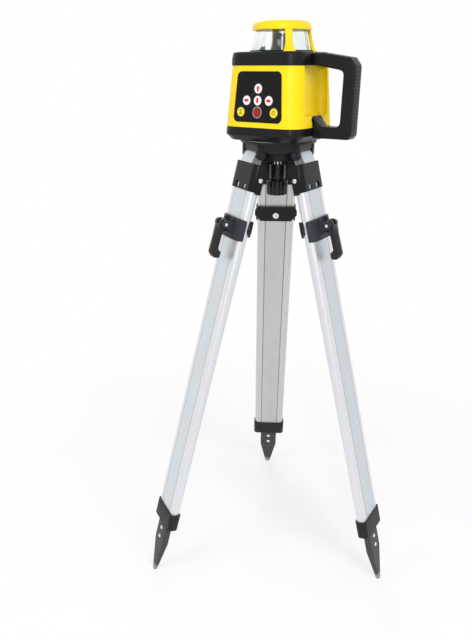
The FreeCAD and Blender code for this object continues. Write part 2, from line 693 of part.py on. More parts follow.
def clamp_bolt():
    """Bolt through the leg whose far end is an eye pinned in the lever's cheeks."""
    back = -LEG_THICKNESS / 2 - BAND_THICKNESS
    pivot = lever_pivot_offset()
    head_face = back - BOLT_HEAD_HEIGHT
    head = through(BOLT_HEAD_RADIUS, LEVER_PIVOT_DROP, head_face, back)
    rounded = [edge for edge in head.Edges if abs(edge.CenterOfMass.y - head_face) < 1e-6]
    head = head.makeFillet(BOLT_HEAD_ROUND, rounded)
    shank = through(BOLT_RADIUS, LEVER_PIVOT_DROP, back, pivot)
    eye = across(LEVER_PIN_RADIUS + BOLT_EYE_RIM, LEVER_PIVOT_DROP, -pivot, BOLT_EYE_WIDTH / 2)
    pin_half = CHEEK_SPACING / 2 + CHEEK_THICKNESS + BOLT_PIN_PROUD
    pin = across(LEVER_PIN_RADIUS, LEVER_PIVOT_DROP, -pivot, pin_half)
    socket = through(BOLT_SOCKET_RADIUS, LEVER_PIVOT_DROP, head_face - 1, head_face + BOLT_SOCKET_DEPTH)
    return fuse_all([head, shank, eye, pin]).cut(socket)


def lever_rooms(outer):
    """Slot in the hub for the bolt's eye, and its way round as the lever opens."""
    pivot = lever_pivot_offset()
    top = -LEVER_PIVOT_DROP
    half = BOLT_EYE_WIDTH / 2 + BODY_GAP
    reach = LEVER_PIN_RADIUS + BOLT_EYE_RIM + BODY_GAP
    eye_room = box(-half, half, 0, pivot + reach, top - 2 * LEVER_HUB_RADIUS + BOLT_EYE_RIM, top + reach)
    swing_room = box(-half, half, 0, outer + 1, top, top + LEVER_HUB_RADIUS + 1)
    return fuse_all([eye_room, swing_room])


def clamp_lever():
    """Cam hub between the cheeks and a handle that hangs down with its toe turned to the leg."""
    pivot = lever_pivot_offset()
    half = CHEEK_SPACING / 2 - BODY_GAP
    grip_half = LEVER_WIDTH / 2
    top = -LEVER_PIVOT_DROP
    bottom = top - LEVER_LENGTH
    hub = across(LEVER_HUB_RADIUS, LEVER_PIVOT_DROP, -pivot, half)
    outer = pivot + LEVER_HUB_RADIUS
    tip_outer = outer + LEVER_LEAN
    tip_inner = tip_outer - LEVER_GRIP_THICKNESS
    side = [Vec(-grip_half, pivot - LEVER_ROOT, top), Vec(-grip_half, outer, top),
            Vec(-grip_half, tip_outer, bottom + LEVER_TOE_RADIUS),
            Vec(-grip_half, tip_outer - LEVER_TOE_RADIUS, bottom),
            Vec(-grip_half, tip_inner, bottom + LEVER_TOE_RADIUS)]
    grip = Part.Face(Part.makePolygon(side + side[:1])).extrude(Vec(LEVER_WIDTH, 0, 0))
    toe = across(LEVER_TOE_RADIUS, LEVER_PIVOT_DROP + LEVER_LENGTH - LEVER_TOE_RADIUS,
                 -tip_inner - LEVER_TOE_TURN, grip_half)
    lever = fuse_all([hub, grip, toe]).cut(lever_rooms(outer))
    return lever.cut(across(LEVER_PIN_RADIUS + RUNNING_GAP, LEVER_PIVOT_DROP, -pivot, LEVER_WIDTH))


def end_cap():
    """Black cap over the lower leg's end; the shoe's tenon passes through its bottom wall."""
    block = rounded_block(CAP_WIDTH, CAP_THICKNESS, CAP_ROUND, -CAP_BOTTOM, -CAP_TOP)
    leg_room = rounded_block(LEG_WIDTH + 2 * SEAT_GAP, LEG_THICKNESS + 2 * SEAT_GAP,
                             LEG_EDGE_RADIUS + SEAT_GAP, -LOWER_END - SEAT_GAP, -CAP_TOP + 1)
    block = block.cut(leg_room)
    tenon_room = box(-tenon_half() - SEAT_GAP, tenon_half() + SEAT_GAP,
                     -tenon_depth() - SEAT_GAP, tenon_depth() + SEAT_GAP, -CAP_BOTTOM - 1, -CAP_TOP)
    return block.cut(tenon_room)


def tenon_half():
    return SHOE_WIDTH / 2


def tenon_depth():
    return cavity_thickness() / 2 - SEAT_GAP


def foot_shoe():
    """Tenon up inside the leg, a straight body and a point cut level with the ground."""
    half = SHOE_WIDTH / 2
    depth = SHOE_THICKNESS / 2
    tenon = box(-tenon_half(), tenon_half(), -tenon_depth(), tenon_depth(), -CAP_BOTTOM, -SHOE_TENON_TOP)
    straight = rounded_block(SHOE_WIDTH, SHOE_THICKNESS, 4.0, -SHOE_TAPER_TOP, -CAP_BOTTOM)
    reach = HEAD_HEIGHT / math.cos(math.radians(LEG_TILT)) + 4.0
    taper = Part.makeLoft([rounded_wire(2 * half, 2 * depth, 4.0, -SHOE_TAPER_TOP),
                           rounded_wire(SHOE_TIP_WIDTH, SHOE_TIP_THICKNESS, 3.5, -reach)], True, True)
    shoe = fuse_all([tenon, straight, taper])
    for drop in RIVET_DROPS:
        shoe = shoe.cut(through(RIVET_RADIUS, drop, -SHOE_THICKNESS, SHOE_THICKNESS))
    return shoe


def foot_rivets():
    depth = SHOE_THICKNESS / 2
    rivets = []
    for drop in RIVET_DROPS:
        pieces = [through(RIVET_RADIUS, drop, -depth, depth)]
        for face in (-1, 1):
            near = face * depth
            far = face * (depth + RIVET_HEAD)
            pieces.append(Part.makeCone(RIVET_HEAD_RADIUS, RIVET_HEAD_RADIUS * 0.6, RIVET_HEAD,
                                        Vec(0, near, -drop), Vec(0, far - near, 0)))
        rivets.append(fuse_all(pieces))
    return Part.Compound(rivets)


LEG_PIECES = {
    "upper_leg": upper_leg,
    "yoke": yoke,
    "yoke_pin": yoke_pin,
    "lower_leg": lower_leg,
    "clamp_plate": clamp_plate,
    "clamp_band": clamp_band,
    "clamp_bolt": clamp_bolt,
    "clamp_lever": clamp_lever,
    "end_cap": end_cap,
    "foot_shoe": foot_shoe,
    "foot_rivets": foot_rivets,
}


# ---------------------------------------------------------------- laser level

def level_wire(z, grow=0.0):
    """Outline of the housing at a height; grow moves every side out, or in when negative."""
    lean = 2 * LEVEL_TAPER * z
    width = LEVEL_WIDTH - lean + 2 * grow
    depth = LEVEL_DEPTH - lean + 2 * grow
    return rounded_wire(width, depth, LEVEL_CORNER + grow, z)


def level_block(z_low, z_high, grow=0.0):
    return Part.makeLoft([level_wire(z_low, grow), level_wire(z_high, grow)], True, True)


def side_recess(grow=0.0):
    """Space cut out of the handle's side of the shell to give the fingers room."""
    half_height = LEVEL_WIDTH / 2 - LEVEL_TAPER * SHELL_TOP
    inner = half_height - RECESS_DEPTH - grow
    half = RECESS_HALF_WIDTH + grow
    bottom = RECESS_BOTTOM - grow
    block = box(inner, LEVEL_WIDTH, -half, half, bottom, SHELL_TOP + 10)
    return fillet_where(block, RECESS_ROUND, lambda edge: abs(edge.CenterOfMass.x - inner) < 1e-6
                        and edge.CenterOfMass.z < SHELL_TOP)


def battery_box(grow=0.0):
    back = LEVEL_DEPTH / 2 + 10
    front = LEVEL_DEPTH / 2 - BATTERY_DEPTH - grow
    half = BATTERY_WIDTH / 2 + grow
    return box(-half, half, front, back, FLOOR_THICKNESS + SEAT_GAP - grow,
               FLOOR_THICKNESS + SEAT_GAP + BATTERY_HEIGHT + grow)


def base_tray():
    lower = level_wire(BASE_CHAMFER)
    foot = rounded_wire(LEVEL_WIDTH - 2 * BASE_CHAMFER, LEVEL_DEPTH - 2 * BASE_CHAMFER,
                        LEVEL_CORNER - BASE_CHAMFER / 2, 0)
    chamfer = Part.makeLoft([foot, lower], True, True)
    tray = fuse_all([chamfer, level_block(BASE_CHAMFER, BASE_HEIGHT)])
    inside = level_block(BASE_CHAMFER, BASE_HEIGHT + 1, -LEVEL_WALL)
    floor_inside = rounded_block(LEVEL_WIDTH - 2 * BASE_CHAMFER - 2 * LEVEL_WALL,
                                 LEVEL_DEPTH - 2 * BASE_CHAMFER - 2 * LEVEL_WALL,
                                 LEVEL_CORNER - BASE_CHAMFER, FLOOR_THICKNESS, BASE_CHAMFER + 1)
    tray = tray.cut(inside).cut(floor_inside)
    boss = drum(INSERT_RADIUS + INSERT_WALL, 0, INSERT_HEIGHT)
    tray = fuse_all([tray, boss])
    tray = tray.cut(drum(INSERT_RADIUS, -1, INSERT_HEIGHT + 1))
    return tray.cut(battery_box(SEAT_GAP))


def mount_insert():
    """Brass insert that takes the tripod's centre screw."""
    return drum(INSERT_RADIUS, 0, INSERT_HEIGHT, SCREW_RADIUS + RUNNING_GAP)


def battery_pack():
    """Pack that slides in from the back; its door follows the housing's outside."""
    envelope = level_block(0, SHELL_TOP, -SEAT_GAP)
    pack = battery_box().common(envelope)
    margin = BATTERY_DOOR_MARGIN
    half = BATTERY_WIDTH / 2 + margin
    zone = box(-half, half, 0, LEVEL_DEPTH, BASE_CHAMFER + 1, FLOOR_THICKNESS + BATTERY_HEIGHT + margin)
    skin = level_block(0, SHELL_TOP, BATTERY_DOOR).cut(level_block(0, SHELL_TOP, SEAT_GAP))
    neck = battery_box().common(level_block(0, SHELL_TOP, SEAT_GAP + 0.5))
    pieces = [pack, skin.common(zone), neck.common(zone)]
    return fuse_all(pieces)


def panel_half_width(up):
    share = up / PANEL_HEIGHT
    return (PANEL_WIDTH_BOTTOM + (PANEL_WIDTH_TOP - PANEL_WIDTH_BOTTOM) * share) / 2


def panel_plate(y_low, y_high, grow=0.0):
    """Rounded trapezoid drawn upright with its foot at z = 0 and its outer face towards -Y."""
    low = panel_half_width(0) + grow
    high = panel_half_width(PANEL_HEIGHT) + grow
    points = [(-low, -grow), (low, -grow), (high, PANEL_HEIGHT + grow), (-high, PANEL_HEIGHT + grow)]
    plate = upright_polygon(points, y_high - y_low)
    plate.translate(Vec(0, (y_low + y_high) / 2, 0))
    return fillet_where(plate, PANEL_ROUND + grow, lambda edge: runs_along(edge, Y_AXIS))


def taper_angle():
    return math.degrees(math.atan(LEVEL_TAPER))


def placed_on_face(shape):
    """Moves a keypad piece from its upright frame onto the leaning front face."""
    piece = shape.copy()
    piece.rotate(ORIGIN, X_AXIS, -taper_angle())
    front = LEVEL_DEPTH / 2 - LEVEL_TAPER * PANEL_BOTTOM
    piece.translate(Vec(0, -front, PANEL_BOTTOM))
    return piece


def button_spot(name):
    across_face, row = BUTTONS[name]
    return across_face, BUTTON_FIRST_ROW + row * BUTTON_PITCH_UP


def keypad_panel():
    inner = PANEL_THICKNESS - PANEL_PROUD
    plate = panel_plate(-PANEL_PROUD, inner - SEAT_GAP)
    for name in BUTTONS:
        x, z = button_spot(name)
        hole = rod(BUTTON_RADIUS + BODY_GAP, Vec(x, -5, z), Vec(x, 5, z))
        plate = plate.cut(hole)
    return placed_on_face(plate)


def button(name):
    x, z = button_spot(name)
    panel_back = PANEL_THICKNESS - PANEL_PROUD
    face = -PANEL_PROUD - BUTTON_PROUD
    flange_face = panel_back + SEAT_GAP
    disc = rod(BUTTON_RADIUS, Vec(x, face, z), Vec(x, flange_face, z))
    front_edge = [edge for edge in disc.Edges if abs(edge.CenterOfMass.y - face) < 1e-6]
    disc = disc.makeFillet(0.8, front_edge)
    flange_back = flange_face + BUTTON_FLANGE_THICKNESS
    flange = rod(BUTTON_RADIUS + BUTTON_FLANGE, Vec(x, flange_face, z), Vec(x, flange_back, z))
    stem_end = BOARD_DEPTH - PANEL_PROUD - BUTTON_TRAVEL - BODY_GAP
    stem = rod(BUTTON_STEM_RADIUS, Vec(x, flange_back, z), Vec(x, stem_end, z))
    return placed_on_face(fuse_all([disc, flange, stem]))


def board_frame():
    """Low z, high z and front y of the circuit board in the keypad's upright frame."""
    low = BUTTON_FIRST_ROW + BUTTON_PITCH_UP - BOARD_HEIGHT / 2
    return low, low + BOARD_HEIGHT, BOARD_DEPTH - PANEL_PROUD


def board_corners():
    low, high, _ = board_frame()
    inset = BOARD_POST_RADIUS + 1
    spots = []
    for side in (-1, 1):
        for z in (low + inset, high - inset):
            spots.append((side * (BOARD_WIDTH / 2 - inset), z))
    return spots


def circuit_board():
    low, high, front = board_frame()
    board = box(-BOARD_WIDTH / 2, BOARD_WIDTH / 2, front, front + BOARD_THICKNESS, low, high)
    return placed_on_face(board)


def body_shell():
    outer = level_block(BASE_HEIGHT, SHELL_TOP).cut(side_recess())
    inner = level_block(BASE_HEIGHT, SHELL_TOP, -LEVEL_WALL).cut(side_recess(LEVEL_WALL))
    shell = outer.cut(inner)
    front = board_frame()[2]
    wall_inside = LEVEL_WALL - 0.5
    posts = []
    for x, z in board_corners():
        posts.append(placed_on_face(rod(BOARD_POST_RADIUS, Vec(x, wall_inside, z), Vec(x, front, z))))
    shell = fuse_all([shell] + posts)
    shell = shell.cut(placed_on_face(panel_plate(-PANEL_PROUD - 1, PANEL_THICKNESS - PANEL_PROUD, SEAT_GAP)))
    for name in BUTTONS:
        x, z = button_spot(name)
        radius = BUTTON_RADIUS + BUTTON_FLANGE + BODY_GAP
        shell = shell.cut(placed_on_face(rod(radius, Vec(x, 0, z), Vec(x, LEVEL_WALL + 3, z))))
    return shell.cut(battery_box(SEAT_GAP))


def hanger(side):
    """Arm under the top housing that holds one end of the gimbal ring's axis."""
    inner = GIMBAL_OUTER_RADIUS + BODY_GAP
    low = min(side * inner, side * (inner + HANGER_THICKNESS))
    high = max(side * inner, side * (inner + HANGER_THICKNESS))
    half = HANGER_WIDTH / 2
    arm = box(low, high, -half, half, GIMBAL_HEIGHT, SHELL_TOP + 2)
    eye = rod(half, Vec(low, 0, GIMBAL_HEIGHT), Vec(high, 0, GIMBAL_HEIGHT))
    bore_radius = TRUNNION_RADIUS + RUNNING_GAP
    bore = rod(bore_radius, Vec(low - 1, 0, GIMBAL_HEIGHT), Vec(high + 1, 0, GIMBAL_HEIGHT))
    return fuse_all([arm, eye]).cut(bore)


def top_housing():
    band = level_block(SHELL_TOP, TOP_HEIGHT, RIM_PROUD)
    edges = [edge for edge in band.Edges if abs(edge.CenterOfMass.z - TOP_HEIGHT) < 1e-3]
    band = band.makeFillet(RIM_ROUND, edges)
    hollow = level_block(SHELL_TOP - 1, TOP_HEIGHT - LEVEL_WALL - 1, -LEVEL_WALL)
    housing = band.cut(hollow)
    deck = drum(WELL_RADIUS + WELL_WALL, SHELL_TOP, TOP_HEIGHT - 1)
    horn_x = -LEVEL_WIDTH / 2 + LEVEL_TAPER * TOP_HEIGHT - RIM_PROUD + HORN_INSET
    horn_y = LEVEL_DEPTH / 2 - LEVEL_TAPER * TOP_HEIGHT - LEVEL_CORNER
    horn = [Vec(horn_x, horn_y - HORN_WIDTH, TOP_HEIGHT - HORN_ROOT),
            Vec(horn_x + HORN_LEAN, horn_y + HORN_TIP, TOP_HEIGHT + HORN_HEIGHT),
            Vec(horn_x, horn_y + HORN_ROOT, TOP_HEIGHT - HORN_ROOT)]
    fin = Part.Face(Part.makePolygon(horn + horn[:1])).extrude(Vec(HORN_DEPTH, 0, 0))
    housing = fuse_all([housing, deck, fin])
    housing = housing.cut(drum(WELL_RADIUS, SHELL_TOP - 1, TOP_HEIGHT + 1))
    return fuse_all([housing, hanger(-1), hanger(1)])


def handle():
    """Lower arm, ribbed grip and upper arm round the finger gap, cut to the housing's side."""
    reach = HANDLE_REACH
    gap_end = reach - HANDLE_GRIP
    top = TOP_HEIGHT - HANDLE_TOP_GAP
    shoulder = top - HANDLE_TOP_DROP
    low = HANDLE_BOTTOM
    outline = upright_polygon([(HANDLE_ROOT, low), (reach - HANDLE_HEEL_CUT, low), (reach, low + HANDLE_HEEL_RISE),
                               (reach - HANDLE_SHOULDER_LEAN, shoulder - HANDLE_SHOULDER_DROP),
                               (reach - HANDLE_SHOULDER_CUT, shoulder), (HANDLE_GAP_START, top),
                               (HANDLE_ROOT, top)], HANDLE_DEPTH)
    gap_low = low + HANDLE_LOWER_ARM
    gap_start = HANDLE_GAP_START - HANDLE_GAP_SPARE
    gap = upright_polygon([(gap_start, gap_low), (gap_end, gap_low), (gap_end, shoulder - HANDLE_UPPER_ARM),
                           (gap_start, top - HANDLE_UPPER_ARM)], 2 * HANDLE_DEPTH)
    gap = fillet_where(gap, HANDLE_ROUND, lambda edge: runs_along(edge, Y_AXIS) and edge.CenterOfMass.x > gap_end - 1)
    solid = outline.cut(gap)
    solid = fillet_where(solid, HANDLE_EDGE_ROUND, lambda edge: edge.CenterOfMass.x > reach - HANDLE_GRIP / 2
                         and abs(edge.CenterOfMass.y) > HANDLE_DEPTH / 2 - 0.1)
    solid = solid.cut(level_block(0, SHELL_TOP, SEAT_GAP))
    return solid.cut(level_block(SHELL_TOP, 2 * TOP_HEIGHT, RIM_PROUD + SEAT_GAP))


def cone_ring(bottom_radius, top_radius, z_low, z_high, wall):
    outer = Part.makeCone(bottom_radius, top_radius, z_high - z_low, Vec(0, 0, z_low))
    inner = Part.makeCone(bottom_radius - wall, top_radius - wall, z_high - z_low, Vec(0, 0, z_low))
    return outer.cut(inner)


def lantern_glass():
    low = TOP_HEIGHT + SEAT_GAP
    return cone_ring(LANTERN_BOTTOM_RADIUS, LANTERN_TOP_RADIUS, low, low + LANTERN_HEIGHT, GLASS_THICKNESS)


def pillar_section(inner, thickness, half_width, z):
    corners = [Vec(inner, -half_width, z), Vec(inner + thickness, -half_width, z),
               Vec(inner + thickness, half_width, z), Vec(inner, half_width, z)]
    return Part.makePolygon(corners + corners[:1])


def lantern_pillar(z_low, z_high):
    """Leaning pillar outside the glass, wider and thicker at its foot."""
    foot = pillar_section(LANTERN_BOTTOM_RADIUS + PILLAR_GAP, PILLAR_THICKNESS + PILLAR_FOOT_EXTRA,
                          (PILLAR_WIDTH + PILLAR_FOOT_SPREAD) / 2, z_low)
    top = pillar_section(LANTERN_TOP_RADIUS + PILLAR_GAP, PILLAR_THICKNESS - PILLAR_TOP_LESS,
                         PILLAR_WIDTH / 2, z_high)
    return Part.makeLoft([foot, top], True, True)


def lantern_cage():
    """Domed cap and the pillars that carry it outside the glass."""
    low = TOP_HEIGHT + SEAT_GAP + LANTERN_HEIGHT + SEAT_GAP
    disc = drum(CAP_DISC_RADIUS, low, low + CAP_DISC_HEIGHT)
    top_edges = [edge for edge in disc.Edges if abs(edge.CenterOfMass.z - low - CAP_DISC_HEIGHT) < 1e-6]
    pieces = [disc.makeFillet(CAP_DISC_CHAMFER, top_edges)]
    for angle in PILLAR_ANGLES:
        pillar = lantern_pillar(TOP_HEIGHT + SEAT_GAP, low + 1)
        pillar.rotate(ORIGIN, Z_AXIS, angle)
        pieces.append(pillar)
    return fuse_all(pieces)


def gimbal_ring():
    low = GIMBAL_HEIGHT - GIMBAL_THICKNESS / 2
    ring = drum(GIMBAL_OUTER_RADIUS, low, low + GIMBAL_THICKNESS, GIMBAL_INNER_RADIUS)
    pieces = [ring]
    for side in (-1, 1):
        start = Vec(side * (GIMBAL_OUTER_RADIUS - 2), 0, GIMBAL_HEIGHT)
        pieces.append(rod(TRUNNION_RADIUS, start, start + Vec(side * TRUNNION_LENGTH, 0, 0)))
    ring = fuse_all(pieces)
    reach = GIMBAL_OUTER_RADIUS + 1
    bore_radius = TRUNNION_RADIUS + RUNNING_GAP
    return ring.cut(rod(bore_radius, Vec(0, -reach, GIMBAL_HEIGHT), Vec(0, reach, GIMBAL_HEIGHT)))


def laser_barrel():
    """Tube of the laser source, hung in the gimbal ring by its two trunnions."""
    tube = drum(BARREL_RADIUS, BARREL_BOTTOM, BARREL_TOP)
    pieces = [tube]
    for side in (-1, 1):
        end = side * (GIMBAL_OUTER_RADIUS - 1)
        pieces.append(rod(TRUNNION_RADIUS, Vec(0, side * (BARREL_RADIUS - 2), GIMBAL_HEIGHT),
                          Vec(0, end, GIMBAL_HEIGHT)))
    barrel = fuse_all(pieces)
    barrel = barrel.cut(drum(BARREL_BORE_RADIUS, BARREL_BOTTOM + 6, SPINDLE_BOTTOM - 2))
    return barrel.cut(drum(SPINDLE_RADIUS + RUNNING_GAP, SPINDLE_BOTTOM - 3, BARREL_TOP + 1))


def rotor_motor():
    """Hollow-shaft motor on top of the barrel."""
    return drum(MOTOR_RADIUS, BARREL_TOP, BARREL_TOP + MOTOR_HEIGHT, SPINDLE_RADIUS + RUNNING_GAP)


def rotor_head():
    """Spindle and the cylindrical prism holder with its beam window."""
    top = ROTOR_BOTTOM + ROTOR_HEIGHT
    holder = drum(ROTOR_RADIUS, ROTOR_BOTTOM, top)
    top_edges = [edge for edge in holder.Edges if abs(edge.CenterOfMass.z - top) < 1e-6]
    holder = holder.makeFillet(ROTOR_ROUND, top_edges)
    spindle = drum(SPINDLE_RADIUS, SPINDLE_BOTTOM, ROTOR_BOTTOM + 1)
    collar = drum(SPINDLE_RADIUS + SPINDLE_COLLAR, BARREL_TOP + MOTOR_HEIGHT + BODY_GAP, ROTOR_BOTTOM + 1)
    rotor = fuse_all([holder, spindle, collar])
    rotor = rotor.cut(drum(SPINDLE_RADIUS - SPINDLE_WALL, SPINDLE_BOTTOM - 1, ROTOR_BOTTOM + ROTOR_FLOOR))
    half = ROTOR_WINDOW / 2
    middle = ROTOR_BOTTOM + ROTOR_HEIGHT / 2
    return rotor.cut(box(-half, half, -ROTOR_RADIUS - 1, half, middle - half, middle + half))


def pentaprism():
    """Five-sided prism that turns the beam through a right angle."""
    half = PRISM_SIZE / 2
    middle = ROTOR_BOTTOM + ROTOR_HEIGHT / 2
    floor = middle - ROTOR_WINDOW / 2
    points = [(-half, floor), (half, floor), (half, floor + PRISM_FRONT_HEIGHT),
              (half - PRISM_TOP_CUT, floor + PRISM_SIZE), (-half, floor + PRISM_BACK_HEIGHT)]
    corners = [Vec(-half, y, z) for y, z in points]
    face = Part.Face(Part.makePolygon(corners + corners[:1]))
    return face.extrude(Vec(PRISM_SIZE, 0, 0))


LEVEL_PIECES = {
    "base_tray": base_tray,
    "mount_insert": mount_insert,
    "battery_pack": battery_pack,
    "body_shell": body_shell,
    "top_housing": top_housing,
    "handle": handle,
    "keypad_panel": keypad_panel,
    "circuit_board": circuit_board,
    "lantern_glass": lantern_glass,
    "lantern_cage": lantern_cage,
    "gimbal_ring": gimbal_ring,
    "laser_barrel": laser_barrel,
    "rotor_motor": rotor_motor,
    "rotor_head": rotor_head,
    "pentaprism": pentaprism,
}

HEAD_PIECES = {
    "head_casting": head_casting,
    "hinge_pins": hinge_pin_set,
    "screw_carrier": screw_carrier,
    "centre_screw": centre_screw,
    "screw_knob": screw_knob,
}


# ---------------------------------------------------------------- assembly

def footprint_shift(shapes):
    """The move that centres the whole model on the vertical through its footprint's middle."""
    bounds = FreeCAD.BoundBox()
    for shape in shapes.values():
        bounds.add(shape.optimalBoundingBox(False))
    return Vec(-(bounds.XMin + bounds.XMax) / 2, -(bounds.YMin + bounds.YMax) / 2, 0)


def build():
    shapes = {}
    for name, make in HEAD_PIECES.items():
        shape = make()
        shape.translate(Vec(0, 0, HEAD_HEIGHT))
        shapes[name] = shape
    under_ground = box(-HEAD_HEIGHT, HEAD_HEIGHT, -HEAD_HEIGHT, HEAD_HEIGHT, -HEAD_HEIGHT, 0)
    for name, make in LEG_PIECES.items():
        upright = make()
        for leg, azimuth in LEG_AZIMUTHS.items():
            placed = placed_on_leg(upright, azimuth)
            if name == "foot_shoe":
                placed = placed.cut(under_ground)
            shapes[name + "_" + leg] = placed
    for name, make in LEVEL_PIECES.items():
        shapes[name] = placed_on_head(make())
    for name in BUTTONS:
        shapes[name] = placed_on_head(button(name))
    shift = footprint_shift(shapes)
    for shape in shapes.values():
        shape.translate(shift)
    return shapes, shift


def main():
    shapes, _ = build()
    os.makedirs("parts", exist_ok=True)
    for name, shape in shapes.items():
        shape.exportStep("parts/" + name + ".step")
        print(name, "valid", shape.isValid(), "solids", len(shape.Solids), round(shape.Volume / 1000, 1), "cm3")


if __name__ == "__main__":
    main()
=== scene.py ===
"""Looks of the laser level and its tripod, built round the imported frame.

Lengths are in metres in the frame, and in millimetres inside the two local frames that place the pieces:
a leg's frame has X across the leg, Y away from the tripod's axis and Z up the leg from the head plane;
the level's frame has its base on z = 0, its keypad on -Y and its handle on +X.
"""

import json
import math

import bmesh
import bpy
from mathutils import Matrix, Vector


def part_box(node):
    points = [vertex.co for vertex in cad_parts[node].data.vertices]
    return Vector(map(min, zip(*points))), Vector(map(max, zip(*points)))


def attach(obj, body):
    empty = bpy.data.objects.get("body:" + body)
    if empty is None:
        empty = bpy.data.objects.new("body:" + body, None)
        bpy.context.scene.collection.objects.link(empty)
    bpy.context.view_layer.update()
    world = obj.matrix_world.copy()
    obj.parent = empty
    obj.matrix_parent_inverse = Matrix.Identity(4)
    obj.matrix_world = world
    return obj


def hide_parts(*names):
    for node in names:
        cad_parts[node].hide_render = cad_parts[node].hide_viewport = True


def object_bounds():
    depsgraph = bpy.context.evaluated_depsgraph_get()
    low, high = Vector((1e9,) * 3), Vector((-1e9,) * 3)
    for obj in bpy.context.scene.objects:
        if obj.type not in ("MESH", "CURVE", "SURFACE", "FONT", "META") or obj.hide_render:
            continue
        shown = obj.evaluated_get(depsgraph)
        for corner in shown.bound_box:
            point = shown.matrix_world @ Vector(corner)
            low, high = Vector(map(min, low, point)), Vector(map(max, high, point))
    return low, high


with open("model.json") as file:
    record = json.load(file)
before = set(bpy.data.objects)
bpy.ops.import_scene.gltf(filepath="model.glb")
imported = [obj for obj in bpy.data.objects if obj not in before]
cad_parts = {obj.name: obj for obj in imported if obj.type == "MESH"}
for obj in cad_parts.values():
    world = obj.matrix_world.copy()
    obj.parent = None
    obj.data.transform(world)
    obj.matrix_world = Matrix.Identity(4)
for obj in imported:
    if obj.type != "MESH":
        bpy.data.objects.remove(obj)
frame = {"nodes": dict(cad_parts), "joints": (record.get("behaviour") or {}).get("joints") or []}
CAD_LOW, CAD_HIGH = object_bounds()

NODES = frame["nodes"]
JOINTS = {joint["name"]: joint for joint in frame["joints"]}
LEGS = ("rear", "front_left", "front_right")
KEYS = ("key_up", "key_left", "key_down", "key_right", "key_scan", "key_manual", "key_power")
MM = 0.001
SHARP_ANGLE = 38.0       # edges that turn by more degrees than this are shaded sharp
SHARP_METAL = 30.0
BEVEL_ANGLE = 32.0
MERGE_DISTANCE = 0.002   # millimetres
WELD_DISTANCE = 0.004
TIP_RADIUS = 0.0005      # a turned tip's points are merged, so it may not be a hole
FACE_DEPTH = 0.02        # points of a key this near its outermost one are its face

# Tripod, in a leg's frame, in millimetres
HINGE_DROP = 26.0
GROOVE_OFFSET = 23.0
GROOVE_HALF = 0.9
YOKE_HALF_WIDTH = 44.0
YOKE_PIN_DROP = 71.0
YOKE_PIN_INSET = 4.0
YOKE_PIN_RADIUS = 3.0
YOKE_HEAD_RADIUS = 4.5
YOKE_HEAD_HEIGHT = 1.9
LEVER_PIVOT_DROP = 167.0
LEVER_PIVOT_OFFSET = 33.5
LEVER_HUB_HALF = 11.7
LEVER_GRIP_HALF = 9.8
BOLT_EYE_HALF = 4.3
BOLT_EYE_REACH = 5.8

# Level, in its own frame, in millimetres
LEVEL_WIDTH = 170.0
LEVEL_DEPTH = 162.0
LEVEL_CORNER = 32.0
LEVEL_TAPER = 0.0776
SHELL_TOP = 126.0
TOP_HEIGHT = 148.0
RIM_PROUD = 1.5
DECK_HEIGHT = 147.2
HANDLE_HALF_DEPTH = 16.0
GLASS_BOTTOM = 148.1
GLASS_TOP = 182.1
GLASS_FOOT_RADIUS = 56.0
GLASS_HEAD_RADIUS = 47.0
CAGE_TOP = 198.2
CAP_RADIUS = 54.0
PILLAR_ANGLES = (-45.0, 45.0, 135.0)
WELL_RADIUS = 27.0
GIMBAL_HEIGHT = 104.0
GIMBAL_RADIUS = 31.0


# ---------------- local frames

def joint_axis(name):
    return Vector(JOINTS[name]["axis"]).normalized()


def local_frame(across, deep, up, origin):
    """Matrix from a local frame in millimetres to the row frame in metres."""
    turn = Matrix((across, deep, up)).transposed().to_4x4()
    return Matrix.Translation(origin) @ turn @ Matrix.Scale(MM, 4)


def leg_frame(leg):
    up = -joint_axis("slide_" + leg)
    across = joint_axis("fold_" + leg)
    origin = Vector(JOINTS["fold_" + leg]["pos_m"]) + up * HINGE_DROP * MM
    return local_frame(across, up.cross(across), up, origin)


def level_frame():
    axis = Vector(JOINTS["aim_level"]["pos_m"])
    origin = Vector((axis.x, axis.y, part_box("base_tray")[0].z))
    return local_frame(joint_axis("tilt_roll"), joint_axis("tilt_pitch"), Vector((0, 0, 1)), origin)


def head_frame():
    return local_frame(Vector((1, 0, 0)), Vector((0, 1, 0)), Vector((0, 0, 1)), Vector(JOINTS["aim_level"]["pos_m"]))


def key_frame(key):
    """Frame on a key's outer face: X to the right, Z up the keypad, Y into the housing."""
    inward = joint_axis("travel_" + key)
    across = joint_axis("tilt_roll")
    points = [vertex.co for vertex in NODES[key].data.vertices]
    nearest = min(point.dot(inward) for point in points)
    face = [point for point in points if point.dot(inward) < nearest + FACE_DEPTH * MM]
    middle = sum(face, Vector()) / len(face)
    middle += inward * (nearest - middle.dot(inward))
    return local_frame(across, inward, across.cross(inward), middle)


LEG_FRAMES = {leg: leg_frame(leg) for leg in LEGS}
LEVEL = level_frame()
HEAD = head_frame()
KEY_FRAMES = {key: key_frame(key) for key in KEYS}


# ---------------- mesh helpers

def smooth(mesh, sharp):
    mesh.shade_smooth()
    mesh.set_sharp_from_angle(angle=math.radians(sharp))


def new_object(name, mesh_maker, merge=True):
    """Object in the scene whose mesh a function fills."""
    bm = bmesh.new()
    mesh_maker(bm)
    if merge:
        bmesh.ops.remove_doubles(bm, verts=bm.verts, dist=MERGE_DISTANCE * MM)
    bmesh.ops.recalc_face_normals(bm, faces=bm.faces)
    mesh = bpy.data.meshes.new(name)
    bm.to_mesh(mesh)
    bm.free()
    made = bpy.data.objects.new(name, mesh)
    bpy.context.scene.collection.objects.link(made)
    return made


